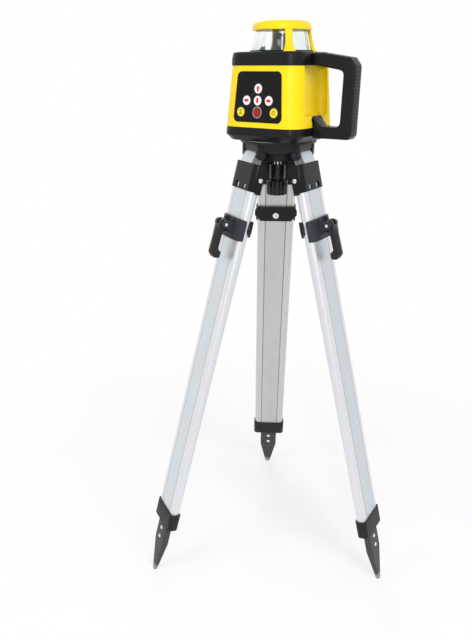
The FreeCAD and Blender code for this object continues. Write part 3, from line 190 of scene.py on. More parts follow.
def make_piece(name, mesh_maker, body, paints, replaces=(), sharp=SHARP_ANGLE):
    """Makes a piece from a function that fills a bmesh in the row frame, and rides it on its body."""
    piece = new_object(name, mesh_maker)
    for paint in paints.split():
        piece.data.materials.append(PAINTS[paint])
    smooth(piece.data, sharp)
    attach(piece, body)
    if replaces:
        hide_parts(*replaces)
    return piece


def skin(bm, rings, matrix, closed=False):
    """Joins rings that have as many points each, and closes both ends unless the last meets the first."""
    loops = [[bm.verts.new(matrix @ Vector(point)) for point in ring] for ring in rings]
    pairs = list(zip(loops, loops[1:]))
    if closed:
        pairs.append((loops[-1], loops[0]))
    faces = []
    for low, high in pairs:
        for index in range(len(low)):
            following = (index + 1) % len(low)
            faces.append(bm.faces.new((low[index], low[following], high[following], high[index])))
    if not closed:
        faces.append(bm.faces.new(list(reversed(loops[0]))))
        faces.append(bm.faces.new(loops[-1]))
    return faces


def circle(radius, z, steps, ripple=None):
    ring = []
    for index in range(steps):
        angle = 2 * math.pi * index / steps
        size = radius - ripple(angle, z) if ripple else radius
        ring.append((size * math.cos(angle), size * math.sin(angle), z))
    return ring


def lathe(bm, profile, matrix, steps, closed=False, ripple=None):
    """Turns a profile of (radius, height) points about Z."""
    rings = [circle(max(radius, TIP_RADIUS), z, steps, ripple) for radius, z in profile]
    skin(bm, rings, matrix, closed)


def axis_matrix(start, direction):
    """Matrix that puts a lathe's Z along a direction from a start point."""
    turn = Vector(direction).to_track_quat("Z", "Y").to_matrix().to_4x4()
    return Matrix.Translation(Vector(start)) @ turn


def capsule(bm, start, end, radius, matrix, steps=14, end_steps=4):
    """Rod with round ends."""
    run = Vector(end) - Vector(start)
    quarter = [math.pi / 2 * index / end_steps for index in range(end_steps + 1)]
    profile = [(radius * math.sin(angle), -radius * math.cos(angle)) for angle in quarter]
    profile += [(radius * math.cos(angle), run.length + radius * math.sin(angle)) for angle in quarter]
    lathe(bm, profile, matrix @ axis_matrix(start, run), steps)


def rounded_outline(corners, steps=6):
    """Closed outline whose corners (u, v, radius) are turned into arcs, counter-clockwise."""
    points = []
    for index, (u, v, radius) in enumerate(corners):
        corner = Vector((u, v))
        if radius <= 0:
            points.append(corner)
            continue
        before = (Vector(corners[index - 1][:2]) - corner).normalized()
        after = (Vector(corners[(index + 1) % len(corners)][:2]) - corner).normalized()
        half = before.angle(after) / 2
        centre = corner + (before + after).normalized() * radius / math.sin(half)
        start = corner + before * radius / math.tan(half) - centre
        end = corner + after * radius / math.tan(half) - centre
        first = math.atan2(start.y, start.x)
        turn = math.atan2(end.y, end.x) - first
        turn = (turn + math.pi) % (2 * math.pi) - math.pi
        for step in range(steps + 1):
            angle = first + turn * step / steps
            points.append(centre + radius * Vector((math.cos(angle), math.sin(angle))))
    area = sum(a.x * b.y - b.x * a.y for a, b in zip(points, points[1:] + points[:1]))
    return points if area > 0 else points[::-1]


def inset(outline, distance):
    """Moves a counter-clockwise outline inwards."""
    moved = []
    for index, point in enumerate(outline):
        before = (point - outline[index - 1]).normalized()
        after = (outline[(index + 1) % len(outline)] - point).normalized()
        inward = Vector((-before.y - after.y, before.x + after.x)).normalized()
        moved.append(point + inward * distance)
    return moved


def round_stations(half, radius, steps=4):
    """(place, inset) pairs across a slab whose long edges are rounded."""
    edge = []
    for step in range(steps + 1):
        angle = math.pi / 2 * step / steps
        edge.append((-half + radius * (1 - math.cos(angle)), radius * (1 - math.sin(angle))))
    return edge + [(-place, size) for place, size in reversed(edge)]


def slab(bm, outline, stations, place, matrix):
    """Skins an outline at each station; place(u, v, w) gives the point in the local frame."""
    rings = []
    for across, distance in stations:
        rings.append([place(point.x, point.y, across) for point in inset(outline, distance)])
    skin(bm, rings, matrix)


def arc_band(radius, width, first, last, steps=20):
    """Outline of a band of a ring between two angles in degrees."""
    outer = []
    inner = []
    for index in range(steps + 1):
        angle = math.radians(first + (last - first) * index / steps)
        spot = Vector((math.cos(angle), math.sin(angle)))
        outer.append(spot * (radius + width / 2))
        inner.append(spot * (radius - width / 2))
    return outer + inner[::-1]


def carve(piece, cutter_maker):
    """Cuts the solids that a function makes out of a piece."""
    cutter = new_object("cutter", cutter_maker, merge=False)
    modifier = piece.modifiers.new("carve", "BOOLEAN")
    modifier.operation = "DIFFERENCE"
    modifier.solver = "EXACT"
    modifier.object = cutter
    bpy.context.view_layer.update()
    graph = bpy.context.evaluated_depsgraph_get()
    carved = bpy.data.meshes.new_from_object(piece.evaluated_get(graph))
    piece.modifiers.remove(modifier)
    piece.data = carved
    smooth(carved, SHARP_ANGLE)
    bpy.data.objects.remove(cutter)


def block(bm, low, high, matrix):
    """Box between two corners, used only to cut with."""
    corners = [(low[0], low[1]), (high[0], low[1]), (high[0], high[1]), (low[0], high[1])]
    rings = [[(x, y, z) for x, y in corners] for z in (low[2], high[2])]
    skin(bm, rings, matrix)


def soften(name, width):
    """Rounds the sharp edges of a CAD node with modifiers; its mesh stays as it is."""
    piece = NODES[name]
    weld = piece.modifiers.new("weld", "WELD")
    weld.merge_threshold = WELD_DISTANCE * MM
    bevel = piece.modifiers.new("bevel", "BEVEL")
    bevel.width = width * MM
    bevel.segments = 2
    bevel.limit_method = "ANGLE"
    bevel.angle_limit = math.radians(BEVEL_ANGLE)
    bevel.harden_normals = True
    bevel.miter_outer = "MITER_ARC"


# ---------------- material helpers

def node(tree, kind, inputs=None, **settings):
    """Adds a shader node; an input may be a value or another node's output."""
    made = tree.nodes.new("ShaderNode" + kind)
    for key, value in settings.items():
        setattr(made, key, value)
    for key, value in (inputs or {}).items():
        if isinstance(value, bpy.types.NodeSocket):
            tree.links.new(value, made.inputs[key])
        else:
            made.inputs[key].default_value = value
    return made


def empty_tree(owner):
    """Shader tree of a material or world, emptied."""
    owner.use_nodes = True
    owner.node_tree.nodes.clear()
    return owner.node_tree


def new_material(name, **sockets):
    """Material with a principled shader; the keywords are its uniform sockets."""
    material = bpy.data.materials.new(name)
    tree = empty_tree(material)
    shader = node(tree, "BsdfPrincipled")
    node(tree, "OutputMaterial", {"Surface": shader.outputs["BSDF"]})
    for key, value in sockets.items():
        shader.inputs[key.replace("_", " ")].default_value = value
    return material, tree, shader


def wire(material, shader, colour, roughness, normal=None):
    """Links the shader's uneven sockets and gives the finished material."""
    for key, value in (("Base Color", colour), ("Roughness", roughness), ("Normal", normal)):
        if value is not None:
            material.node_tree.links.new(value, shader.inputs[key])
    return material


def object_place(tree):
    return node(tree, "TexCoord").outputs["Object"]


def height_of(tree, place):
    return node(tree, "SeparateXYZ", {0: place}).outputs["Z"]


def from_point(tree, place, origin):
    return node(tree, "VectorMath", {0: place, 1: origin}, operation="SUBTRACT").outputs[0]


def noise(tree, place, scale, detail=3.0, roughness=0.5):
    inputs = {"Vector": place, "Scale": scale, "Detail": detail, "Roughness": roughness}
    return node(tree, "TexNoise", inputs).outputs["Fac"]


def remap(tree, value, from_low, from_high, to_low=0.0, to_high=1.0):
    inputs = {"Value": value, "From Min": from_low, "From Max": from_high, "To Min": to_low, "To Max": to_high}
    return node(tree, "MapRange", inputs).outputs["Result"]


def uneven(tree, value, low, high):
    """Spreads the values that a noise mostly takes from low to high."""
    return remap(tree, value, 0.3, 0.7, low, high)


def math_node(tree, operation, first, second=0.0):
    made = node(tree, "Math", {0: first, 1: second}, operation=operation)
    return made.outputs[0]


def ramp(tree, value, stops):
    made = node(tree, "ValToRGB", {"Fac": value})
    elements = made.color_ramp.elements
    while len(elements) < len(stops):
        elements.new(0.5)
    for element, (position, colour) in zip(elements, stops):
        element.position = position
        element.color = (*colour, 1.0)
    return made.outputs["Color"]


def mix_colour(tree, factor, first, second):
    made = node(tree, "Mix", data_type="RGBA")
    for index, value in ((0, factor), (6, first), (7, second)):
        if isinstance(value, bpy.types.NodeSocket):
            tree.links.new(value, made.inputs[index])
        else:
            made.inputs[index].default_value = (*value, 1.0) if index else value
    return made.outputs[2]


def bump(tree, height, strength, depth, under=None):
    inputs = {"Height": height, "Strength": strength, "Distance": depth * MM}
    if under is not None:
        inputs["Normal"] = under
    return node(tree, "Bump", inputs).outputs["Normal"]


DARK_SHINE = 0.22        # specular level of black plastic and paint


def shade(colour, factor):
    return tuple(channel * factor for channel in colour)


def moulded(name, colour, rough, grain, spread, scuff=0.0, shine=None, metal=0.0):
    """Moulded plastic or paint: faint mottling, uneven gloss, a fine grain and, if asked, scuffs."""
    shine = shine or (DARK_SHINE if max(colour) < 0.1 else 0.5)
    material, tree, shader = new_material(name, Specular_IOR_Level=shine, Metallic=metal)
    place = object_place(tree)
    mottle = noise(tree, place, 42.0, 4.0)
    tint = ramp(tree, mottle, [(0.25, shade(colour, 1 - spread)), (0.75, shade(colour, 1 + spread))])
    gloss = uneven(tree, noise(tree, place, 160.0, 5.0, 0.6), *rough)
    if scuff > 0:
        flat = node(tree, "Mapping", {"Vector": place, "Scale": (1.0, 1.0, 0.12)}).outputs[0]
        marks = remap(tree, noise(tree, flat, 310.0, 6.0, 0.7), 0.6, 0.72, 0.0, scuff)
        tint = mix_colour(tree, marks, tint, shade(colour, 2.2))
        gloss = math_node(tree, "ADD", gloss, math_node(tree, "MULTIPLY", marks, 0.35))
    fine = bump(tree, noise(tree, place, grain[0], 2.0), 0.55, grain[1])
    return wire(material, shader, tint, gloss, bump(tree, noise(tree, place, 28.0, 2.0), 0.12, 0.5, fine))


def leathered(name, colour, rough, cell_scale, cell_depth):
    """Plastic with a coarse moulded texture of small raised cells, painted lighter on their tops and darker between
    them as light and shade.
    """
    material, tree, shader = new_material(name, Specular_IOR_Level=DARK_SHINE)
    place = object_place(tree)
    cells = node(tree, "TexVoronoi", {"Vector": place, "Scale": cell_scale}).outputs["Distance"]
    # painted light and shade: the cells' raised tops are lighter, the hollows between them darker
    tint = ramp(tree, cells, [(0.1, shade(colour, 1.5)), (0.7, shade(colour, 0.75))])
    gloss = uneven(tree, noise(tree, place, 190.0, 4.0), *rough)
    rise = math_node(tree, "SUBTRACT", 1.0, cells)
    under = bump(tree, noise(tree, place, 1300.0, 2.0), 0.4, 0.05)
    return wire(material, shader, tint, gloss, bump(tree, rise, 0.8, cell_depth, under))


def turning_marks(tree, centred, scale, distortion):
    return node(tree, "TexWave", {"Vector": centred, "Scale": scale, "Distortion": distortion, "Detail": 2.0},
                wave_type="RINGS", rings_direction="Z").outputs["Fac"]


def turned_metal(name, colour, rough):
    """Machined metal with fine turning marks round the tripod's axis and small stains."""
    material, tree, shader = new_material(name, Metallic=1.0)
    place = object_place(tree)
    centred = from_point(tree, place, HEAD.translation)
    rings = turning_marks(tree, centred, 900.0, 1.5)
    stain = noise(tree, place, 120.0, 5.0, 0.6)
    tint = ramp(tree, stain, [(0.3, shade(colour, 0.82)), (0.7, colour)])
    return wire(material, shader, tint, uneven(tree, stain, rough[1], rough[0]), bump(tree, rings, 0.3, 0.02))


def leg_coordinates(tree, leg):
    """Distances across, through and along a leg, in metres, as three outputs."""
    matrix = LEG_FRAMES[leg]
    place = from_point(tree, object_place(tree), matrix.translation)
    parts = []
    for column in range(3):
        axis = matrix.col[column].to_3d().normalized()
        parts.append(node(tree, "VectorMath", {0: place, 1: axis}, operation="DOT_PRODUCT").outputs["Value"])
    return parts


LEG_LIT_AND_SHADED_TONES = {            # rails and web; the web painted darker and bluer than the rails as shade, the front right web darker than the front left's as shade, and the rear leg painted duller and warmer as shade
    "rear": ((0.66, 0.66, 0.65), (0.61, 0.61, 0.60)),
    "front_left": ((0.80, 0.81, 0.845), (0.71, 0.76, 0.795)),
    "front_right": ((0.80, 0.81, 0.845), (0.67, 0.72, 0.76)),
}
STREAK_STRETCH = 0.012   # the streaks' pattern is this much finer across the leg than along it
RAIL_BLEND = 0.3         # millimetres to each side of the groove


def leg_aluminium(leg):
    """Drawn aluminium: streaks along the leg, a web between the grooves painted darker and bluer as shade, and painted
    shade in the grooves.
    """
    material, tree, shader = new_material("aluminium_" + leg, Metallic=1.0)
    across, through, along = leg_coordinates(tree, leg)
    squeezed = math_node(tree, "MULTIPLY", along, STREAK_STRETCH)
    streak_place = node(tree, "CombineXYZ", {0: across, 1: through, 2: squeezed}).outputs[0]
    streaks = noise(tree, streak_place, 700.0, 5.0, 0.65)
    fine = noise(tree, streak_place, 3200.0, 2.0, 0.5)
    cloud_place = node(tree, "CombineXYZ", {0: across, 1: through, 2: along}).outputs[0]
    clouds = noise(tree, cloud_place, 26.0, 4.0, 0.55)
    rail_tone, shaded_web_tone = LEG_LIT_AND_SHADED_TONES[leg]
    # painted shade: the web's tone is darker and bluer than the rails', and the rear leg's darker than the front legs'
    rail, web = (ramp(tree, streaks, [(0.25, shade(tone, 0.93)), (0.75, shade(tone, 1.05))])
                 for tone in (rail_tone, shaded_web_tone))
    side = math_node(tree, "ABSOLUTE", across)
    start, end = (GROOVE_OFFSET - RAIL_BLEND) * MM, (GROOVE_OFFSET + RAIL_BLEND) * MM
    metal = mix_colour(tree, remap(tree, side, start, end), web, rail)
    # painted shade: the colour is darker in the grooves, as if shade fell in them; their gloss is dulled too
    off_groove = math_node(tree, "ABSOLUTE", math_node(tree, "SUBTRACT", side, GROOVE_OFFSET * MM))
    unshaded = remap(tree, off_groove, 0.45 * GROOVE_HALF * MM, 1.5 * GROOVE_HALF * MM)
    groove_shade = mix_colour(tree, clouds, shade(shaded_web_tone, 0.5), shade(shaded_web_tone, 0.72))
    dull = math_node(tree, "MULTIPLY", math_node(tree, "SUBTRACT", 1.0, unshaded), 0.2)
    gloss = math_node(tree, "ADD", uneven(tree, clouds, 0.41, 0.51), dull)
    normal = bump(tree, fine, 0.25, 0.012, bump(tree, streaks, 0.35, 0.03))
    return wire(material, shader, mix_colour(tree, unshaded, groove_shade, metal), gloss, normal)


def head_paint():
    """Black cast head whose top face is machined bare, with turning marks."""
    material, tree, shader = new_material("head_paint", Specular_IOR_Level=DARK_SHINE)
    place = object_place(tree)
    centred = from_point(tree, place, HEAD.translation)
    height = height_of(tree, centred)
    bare = remap(tree, height, -0.75 * MM, -0.5 * MM)
    paint = ramp(tree, noise(tree, place, 60.0, 4.0), [(0.25, (0.009, 0.009, 0.011)), (0.75, (0.017, 0.017, 0.020))])
    metal = ramp(tree, noise(tree, place, 150.0, 4.0), [(0.3, (0.66, 0.66, 0.67)), (0.7, (0.84, 0.84, 0.84))])
    tree.links.new(bare, shader.inputs["Metallic"])
    satin = uneven(tree, noise(tree, place, 210.0, 4.0), 0.3, 0.44)
    cast = bump(tree, noise(tree, place, 800.0, 3.0), 0.5, 0.1)
    normal = bump(tree, turning_marks(tree, centred, 700.0, 1.0), 0.12, 0.02, cast)
    return wire(material, shader, mix_colour(tree, bare, paint, metal), satin, normal)


def shoe_paint():
    """Black paint that has worn down to steel towards the shoe's point."""
    material, tree, shader = new_material("shoe_paint")
    place = object_place(tree)
    height = height_of(tree, place)
    patches = noise(tree, place, 240.0, 6.0, 0.7)
    depth = math_node(tree, "ADD", height, math_node(tree, "MULTIPLY", patches, -0.03))
    worn = remap(tree, depth, 0.004, -0.006)
    paint = ramp(tree, noise(tree, place, 70.0, 4.0), [(0.3, (0.022, 0.022, 0.025)), (0.7, (0.04, 0.04, 0.044))])
    steel = ramp(tree, patches, [(0.3, (0.26, 0.25, 0.24)), (0.7, (0.50, 0.49, 0.48))])
    tree.links.new(worn, shader.inputs["Metallic"])
    normal = bump(tree, noise(tree, place, 700.0, 4.0), 0.6, 0.12)
    return wire(material, shader, mix_colour(tree, worn, paint, steel), uneven(tree, patches, 0.42, 0.58), normal)


def lantern_material():
    """Clear glass, faintly green where it is thick at its foot, with dust that dulls it a little."""
    material, tree, shader = new_material("lantern_glass", Transmission_Weight=1.0, IOR=1.48)
    place = object_place(tree)
    height = height_of(tree, place)
    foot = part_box("lantern_glass")[0].z
    rim = remap(tree, height, foot, foot + 5 * MM)
    tint = mix_colour(tree, rim, (0.62, 0.86, 0.70), (0.95, 0.985, 0.965))
    dust = remap(tree, noise(tree, place, 230.0, 6.0, 0.7), 0.4, 0.8, 0.015, 0.10)
    return wire(material, shader, tint, dust, bump(tree, noise(tree, place, 45.0, 2.0), 0.1, 0.05))


def prism_material():
    """Coated glass prism."""
    material, tree, shader = new_material("prism_glass", Transmission_Weight=0.6, IOR=1.6)
    place = object_place(tree)
    tint = ramp(tree, noise(tree, place, 160.0, 2.0), [(0.3, (0.45, 0.62, 0.70)), (0.7, (0.62, 0.76, 0.80))])
    return wire(material, shader, tint, uneven(tree, noise(tree, place, 400.0, 3.0), 0.03, 0.1))


YELLOW = (0.92, 0.665, 0.006)
MOULDED = {              # colour, gloss from and to, grain's scale and depth, spread, scuffs, specular level, metal
    "knob": ((0.010, 0.0095, 0.010), (0.16, 0.27), (1100.0, 0.03), 0.2, 0.0, 0.35),
    "yoke": ((0.0050, 0.0050, 0.0052), (0.20, 0.27), (750.0, 0.02), 0.15, 0.06, 0.19),
    "slate": ((0.027, 0.031, 0.039), (0.32, 0.44), (820.0, 0.08), 0.15, 0.2),
    "clamp": ((0.008, 0.008, 0.009), (0.26, 0.38), (800.0, 0.08), 0.15, 0.1),
    "lever": ((0.009, 0.0085, 0.009), (0.2, 0.28), (900.0, 0.015), 0.15, 0.05, 0.35),
    "drum": ((0.009, 0.009, 0.0105), (0.24, 0.34), (800.0, 0.05), 0.2, 0.0, 0.26),
    "pin": ((0.030, 0.030, 0.032), (0.3, 0.42), (900.0, 0.05), 0.2, 0.0, None, 0.4),
    "cap": ((0.013, 0.013, 0.0145), (0.36, 0.5), (700.0, 0.1), 0.15, 0.25),
    "housing": ((0.0062, 0.0064, 0.0070), (0.27, 0.37), (820.0, 0.04), 0.12, 0.0, 0.2),
    "yellow": (YELLOW, (0.30, 0.40), (700.0, 0.04), 0.025, 0.0, 0.3),
    "lantern_yellow": (YELLOW, (0.26, 0.36), (760.0, 0.04), 0.03, 0.0, 0.3),
    "panel": ((0.0065, 0.0062, 0.0068), (0.42, 0.55), (950.0, 0.05), 0.1, 0.0, 0.14),
    "panel_ink": ((0.060, 0.058, 0.063), (0.45, 0.6), (950.0, 0.03), 0.1),
    "ring_grey": ((0.36, 0.36, 0.36), (0.4, 0.5), (950.0, 0.03), 0.08),
    "white": ((0.86, 0.87, 0.87), (0.3, 0.42), (900.0, 0.03), 0.03),
    "red": ((0.33, 0.010, 0.015), (0.3, 0.42), (900.0, 0.03), 0.06, 0.0, 0.3),
    "yellow_key": ((0.92, 0.70, 0.02), (0.3, 0.42), (900.0, 0.03), 0.04),
    "red_ink": ((0.70, 0.010, 0.022), (0.4, 0.5), (900.0, 0.02), 0.05),
    "dark_ink": ((0.060, 0.030, 0.010), (0.4, 0.5), (900.0, 0.02), 0.1),
    "rotor": ((0.010, 0.010, 0.011), (0.28, 0.4), (1000.0, 0.04), 0.15),
    "rubber": ((0.010, 0.010, 0.011), (0.55, 0.7), (1200.0, 0.05), 0.15),
    "board": ((0.012, 0.10, 0.035), (0.3, 0.45), (1200.0, 0.05), 0.2),
}
METALS = {
    "steel": ((0.72, 0.72, 0.71), (0.16, 0.3)),
    "fastener": ((0.80, 0.81, 0.82), (0.18, 0.32)),
    "inner": ((0.55, 0.55, 0.56), (0.3, 0.45)),
    "brass": ((0.72, 0.52, 0.22), (0.22, 0.36)),
}
PAINTS = {
    "casting": head_paint(),
    "shoe": shoe_paint(),
    "deck": leathered("deck_texture", (0.012, 0.012, 0.0125), (0.5, 0.62), 420.0, 0.25),
    "grip": leathered("grip_texture", (0.011, 0.011, 0.0115), (0.42, 0.55), 620.0, 0.14),
    "glass": lantern_material(),
    "prism": prism_material(),
}
PAINTS.update({name: moulded(name, *row) for name, row in MOULDED.items()})
PAINTS.update({name: turned_metal(name, *row) for name, row in METALS.items()})
PAINTS.update({"aluminium_" + leg: leg_aluminium(leg) for leg in LEGS})


# ---------------- CAD nodes that stay

NODE_PAINTS = {          # paint: CAD nodes, or the start of the names that the three legs share
    "casting": "head_casting", "pin": "hinge_pins", "cap": "screw_carrier end_cap",
    "steel": "centre_screw rotor_motor", "aluminium": "upper_leg lower_leg", "yoke": "yoke",
    "slate": "clamp_plate", "clamp": "clamp_band", "fastener": "clamp_bolt foot_rivets", "shoe": "foot_shoe",
    "housing": "base_tray battery_pack", "brass": "mount_insert", "yellow": "body_shell",
    "panel": "keypad_panel", "board": "circuit_board", "white": "key_up key_left key_down key_right",
    "yellow_key": "key_scan key_power", "red": "key_manual", "glass": "lantern_glass",
    "inner": "gimbal_ring laser_barrel", "rotor": "rotor_head", "prism": "pentaprism",
}
SOFT_EDGES = {
    "head_casting": 0.7, "hinge_pins": 0.5, "screw_carrier": 0.8, "yoke": 1.0, "clamp_plate": 0.9,
    "clamp_band": 0.8, "end_cap": 1.0, "foot_shoe": 0.8, "foot_rivets": 0.3, "base_tray": 0.8,
    "battery_pack": 0.7, "body_shell": 0.6, "keypad_panel": 0.5, "rotor_head": 0.5, "upper_leg": 0.4,
    "circuit_board": 0.2, "pentaprism": 0.2, "rotor_motor": 0.5,
}


def paint_node(name, paint):
    slots = NODES[name].data.materials
    if len(slots) == 0:
        slots.append(paint)
    for index in range(len(slots)):
        slots[index] = paint


def finish_cad_nodes():
    for paint, bases in NODE_PAINTS.items():
        for base in bases.split():
            names = {base: paint}
            if base not in NODES:
                names = {base + "_" + leg: paint + "_" + leg if paint == "aluminium" else paint for leg in LEGS}
            for name, key in names.items():
                paint_node(name, PAINTS[key])
                if base in SOFT_EDGES:
                    soften(name, SOFT_EDGES[base])


# ---------------- tripod pieces

# The head's own frame starts on the tripod's axis at its top face. The round drum and the webs stand
# in front of the narrower CAD casting; they are tables of (distance from the axis, height).
DRUM_BORE = 41.5
DRUM_TOP = -4.5          # underside of the flange
DRUM_LEDGE = -21.0
DRUM_LOW = -23.2
DRUM_SPAN = 32.0         # degrees to each side of the middle between two legs
DRUM_STEPS = 32
DRUM_PROFILE = [
    (DRUM_BORE, DRUM_TOP), (59.6, DRUM_TOP), (60.0, -7.0), (59.2, DRUM_LEDGE + 1.0), (58.6, DRUM_LEDGE),
    (56.4, DRUM_LEDGE - 0.4), (55.8, DRUM_LOW + 0.5), (55.2, DRUM_LOW), (DRUM_BORE, DRUM_LOW),
]
DRUM_AZIMUTHS = (60.0, 180.0, 300.0)
BRIDGE_AZIMUTHS = (0.0, 120.0, 240.0)
BRIDGE_HALF = 23.6
BRIDGE_FRONT = [(44.0, DRUM_TOP), (62.0, DRUM_TOP), (62.6, -6.0), (62.6, -16.5), (62.0, -17.8), (60.6, -17.8)]
BRIDGE_BACK = (44.0, -19.0)
BRIDGE_ROOM = 8.7        # radius of the hollow round the leg's eye
BRIDGE_ROOM_START = 50.0
BRIDGE_ROOM_SPAN = 90.0
BRIDGE_ROOM_STEPS = 8
HINGE_RADIUS = 54.54     # hinge pin's distance from the tripod's axis
HINGE_HEIGHT = -25.06

KNOB_STEPS = 168
KNOB_FLUTES = 10
KNOB_FLUTE_DEPTH = 1.3
KNOB_FLUTE_TOP = -79.0
KNOB_FLUTE_FOOT = -104.6
KNOB_PROFILE = [
    (0, -62), (7.05, -62), (7.05, -48.6), (7.6, -48), (14.2, -48), (15.5, -48.5), (16, -49.8),
    (16, -54), (15.6, -54.5), (15.6, -56), (16, -56.5), (16, -73.8), (15.2, -75.6), (14.4, -76),
    (14.4, -77.2), (19.0, -77.5), (20.6, -78.2), (21.4, -79.2), (21.5, -80.6), (21.5, -86), (21.5, -92),
    (21.5, -98), (21.5, -102.8), (21.2, -104.4), (20.2, -105.6), (18.4, -106), (6.2, -106), (5, -105),
    (5, -92), (0, -92),
]


def drum_sector_mesh(bm, azimuth):
    """Round front of the head's drum between two pairs of ears, with a ledge round its foot."""
    rings = []
    for index in range(DRUM_STEPS + 1):
        angle = math.radians(azimuth - DRUM_SPAN + 2 * DRUM_SPAN * index / DRUM_STEPS)
        rings.append([(radius * math.sin(angle), radius * math.cos(angle), z) for radius, z in DRUM_PROFILE])
    skin(bm, rings, HEAD)


def bridge_mesh(bm, azimuth):
    """Web that joins a pair of ears above the hinge, hollow underneath round the leg's eye."""
    outline = list(BRIDGE_FRONT)
    for index in range(BRIDGE_ROOM_STEPS + 1):
        angle = math.radians(BRIDGE_ROOM_START + BRIDGE_ROOM_SPAN * index / BRIDGE_ROOM_STEPS)
        outline.append((HINGE_RADIUS + BRIDGE_ROOM * math.cos(angle), HINGE_HEIGHT + BRIDGE_ROOM * math.sin(angle)))
    outline.append(BRIDGE_BACK)
    turn = HEAD @ Matrix.Rotation(math.radians(-azimuth), 4, "Z")
    rings = [[(across, out, z) for out, z in outline] for across in (-BRIDGE_HALF, BRIDGE_HALF)]
    skin(bm, rings, turn)


def make_head():
    for base, mesh_maker, azimuths in (("head_drum_", drum_sector_mesh, DRUM_AZIMUTHS),
                                       ("head_bridge_", bridge_mesh, BRIDGE_AZIMUTHS)):
        for number, azimuth in enumerate(azimuths):
            make_piece(base + str(number), lambda bm: mesh_maker(bm, azimuth), "head", "drum",
                       sharp=SHARP_METAL)


def knob_ripple(angle, z):
    """Depth of the flutes on the knob's lower tier at a height."""
    if z > KNOB_FLUTE_TOP or z < KNOB_FLUTE_FOOT:
        return 0.0
    wave = 0.5 + 0.5 * math.cos(KNOB_FLUTES * angle)
    return KNOB_FLUTE_DEPTH * wave ** 3


def make_knob():
    make_piece("turned_knob", lambda bm: lathe(bm, KNOB_PROFILE, HEAD, KNOB_STEPS, ripple=knob_ripple),
               "screw", "knob", ["screw_knob"], SHARP_METAL)


YOKE_HEAD_PROFILE = [    # (radius, rise above the yoke's side)
    (YOKE_PIN_RADIUS, 0.0), (YOKE_HEAD_RADIUS, 0.0), (YOKE_HEAD_RADIUS, 0.55),
    (YOKE_HEAD_RADIUS - 0.5, 1.2), (YOKE_HEAD_RADIUS - 1.4, 1.65), (2.0, YOKE_HEAD_HEIGHT),
    (1.75, YOKE_HEAD_HEIGHT - 0.1), (1.6, 0.7), (0, 0.5),
]


def yoke_screw_mesh(bm, leg):
    """Cross pin with a domed, socketed head at both ends."""
    profile = [(radius, -YOKE_HALF_WIDTH - rise) for radius, rise in reversed(YOKE_HEAD_PROFILE)]
    profile += [(radius, YOKE_HALF_WIDTH + rise) for radius, rise in YOKE_HEAD_PROFILE]
    lie = axis_matrix((0, -YOKE_PIN_INSET, -YOKE_PIN_DROP), (1, 0, 0))
    lathe(bm, profile, LEG_FRAMES[leg] @ lie, 36)


# The lever seen from its side, in a leg's frame: (Y, Z, corner radius)
LEVER_CORNERS = [
    (23.6, -157, 9.3), (43.5, -157, 9.0), (46.6, -229, 9.0), (39, -237.2, 4.5), (26.0, -236, 5.5),
    (25.8, -223.5, 3.5), (33.4, -218.5, 5.5), (32.2, -183, 6.0), (23.6, -177.5, 9.0),
]
LEVER_ROUND = 2.6
LEVER_ROUND_STEPS = 5
LEVER_FACET = 5.0        # longest step along the lever's outline
LEVER_NECK = -190.0      # above this height the grip widens to the hub
LEVER_NECK_RUN = 14.0
LEVER_RIDGE_TOP = -171.0
LEVER_RIDGE_FADE = 10.0
LEVER_FACE = 39.0        # the ridge grows outwards from this Y
LEVER_FACE_FADE = 4.0
LEVER_RIDGE = 1.3
LEVER_RIDGE_SHARE = 0.42
LEVER_HOLLOW = 0.8
LEVER_HOLLOW_SHARE = 0.55
LEVER_HOLLOW_SPREAD = 0.16
EYE_SLOT_DROP = 18.0     # the slot's foot, below the pivot
SWING_REACH = 11.0
SWING_RISE = 11.5
SWING_SPARE = 1.2        # below the pivot, so that the open lever clears the bolt's shank
BORE_RADIUS = 3.05
BORE_HALF = 15.0


def unit(value):
    return min(max(value, 0.0), 1.0)


def lever_point(y, z, share):
    """Width and crown of the lever: wide at the hub, narrower at the grip, with a ridge down its outer face."""
    rise = unit((z - LEVER_NECK) / LEVER_NECK_RUN)
    half = LEVER_GRIP_HALF + (LEVER_HUB_HALF - LEVER_GRIP_HALF) * rise * rise * (3 - 2 * rise)
    outer = unit((y - LEVER_FACE) / LEVER_FACE_FADE) * unit((LEVER_RIDGE_TOP - z) / LEVER_RIDGE_FADE)
    ridge = LEVER_RIDGE * outer * max(0.0, 1 - (share / LEVER_RIDGE_SHARE) ** 2)
    hollow = LEVER_HOLLOW * outer * math.exp(-((abs(share) - LEVER_HOLLOW_SHARE) / LEVER_HOLLOW_SPREAD) ** 2)
    return (half * share, y + ridge - hollow, z)


def lever_mesh(bm, leg):
    outline = rounded_outline(LEVER_CORNERS, 8)
    dense = []
    for point, following in zip(outline, outline[1:] + outline[:1]):
        parts = max(1, round((following - point).length / LEVER_FACET))
        dense += [point.lerp(following, part / parts) for part in range(parts)]
    stations = round_stations(LEVER_GRIP_HALF, LEVER_ROUND, LEVER_ROUND_STEPS)
    edge = [(place / LEVER_GRIP_HALF, size) for place, size in stations]
    inner = [(share / 10, 0.0) for share in range(-6, 7)]
    half = LEVER_ROUND_STEPS + 1
    slab(bm, dense, edge[:half] + inner + edge[half:], lever_point, LEG_FRAMES[leg])


def lever_room(bm, leg):
    """Slot for the bolt's eye."""
    low = (-BOLT_EYE_HALF, 0, -LEVER_PIVOT_DROP - EYE_SLOT_DROP)
    high = (BOLT_EYE_HALF, LEVER_PIVOT_OFFSET + BOLT_EYE_REACH, -LEVER_PIVOT_DROP + BOLT_EYE_REACH)
    block(bm, low, high, LEG_FRAMES[leg])


def lever_swing_room(bm, leg):
    """The eye's way out of the slot as the lever opens."""
    low = (-BOLT_EYE_HALF, 0, -LEVER_PIVOT_DROP - SWING_SPARE)
    high = (BOLT_EYE_HALF, LEVER_PIVOT_OFFSET + SWING_REACH, -LEVER_PIVOT_DROP + SWING_RISE)
    block(bm, low, high, LEG_FRAMES[leg])


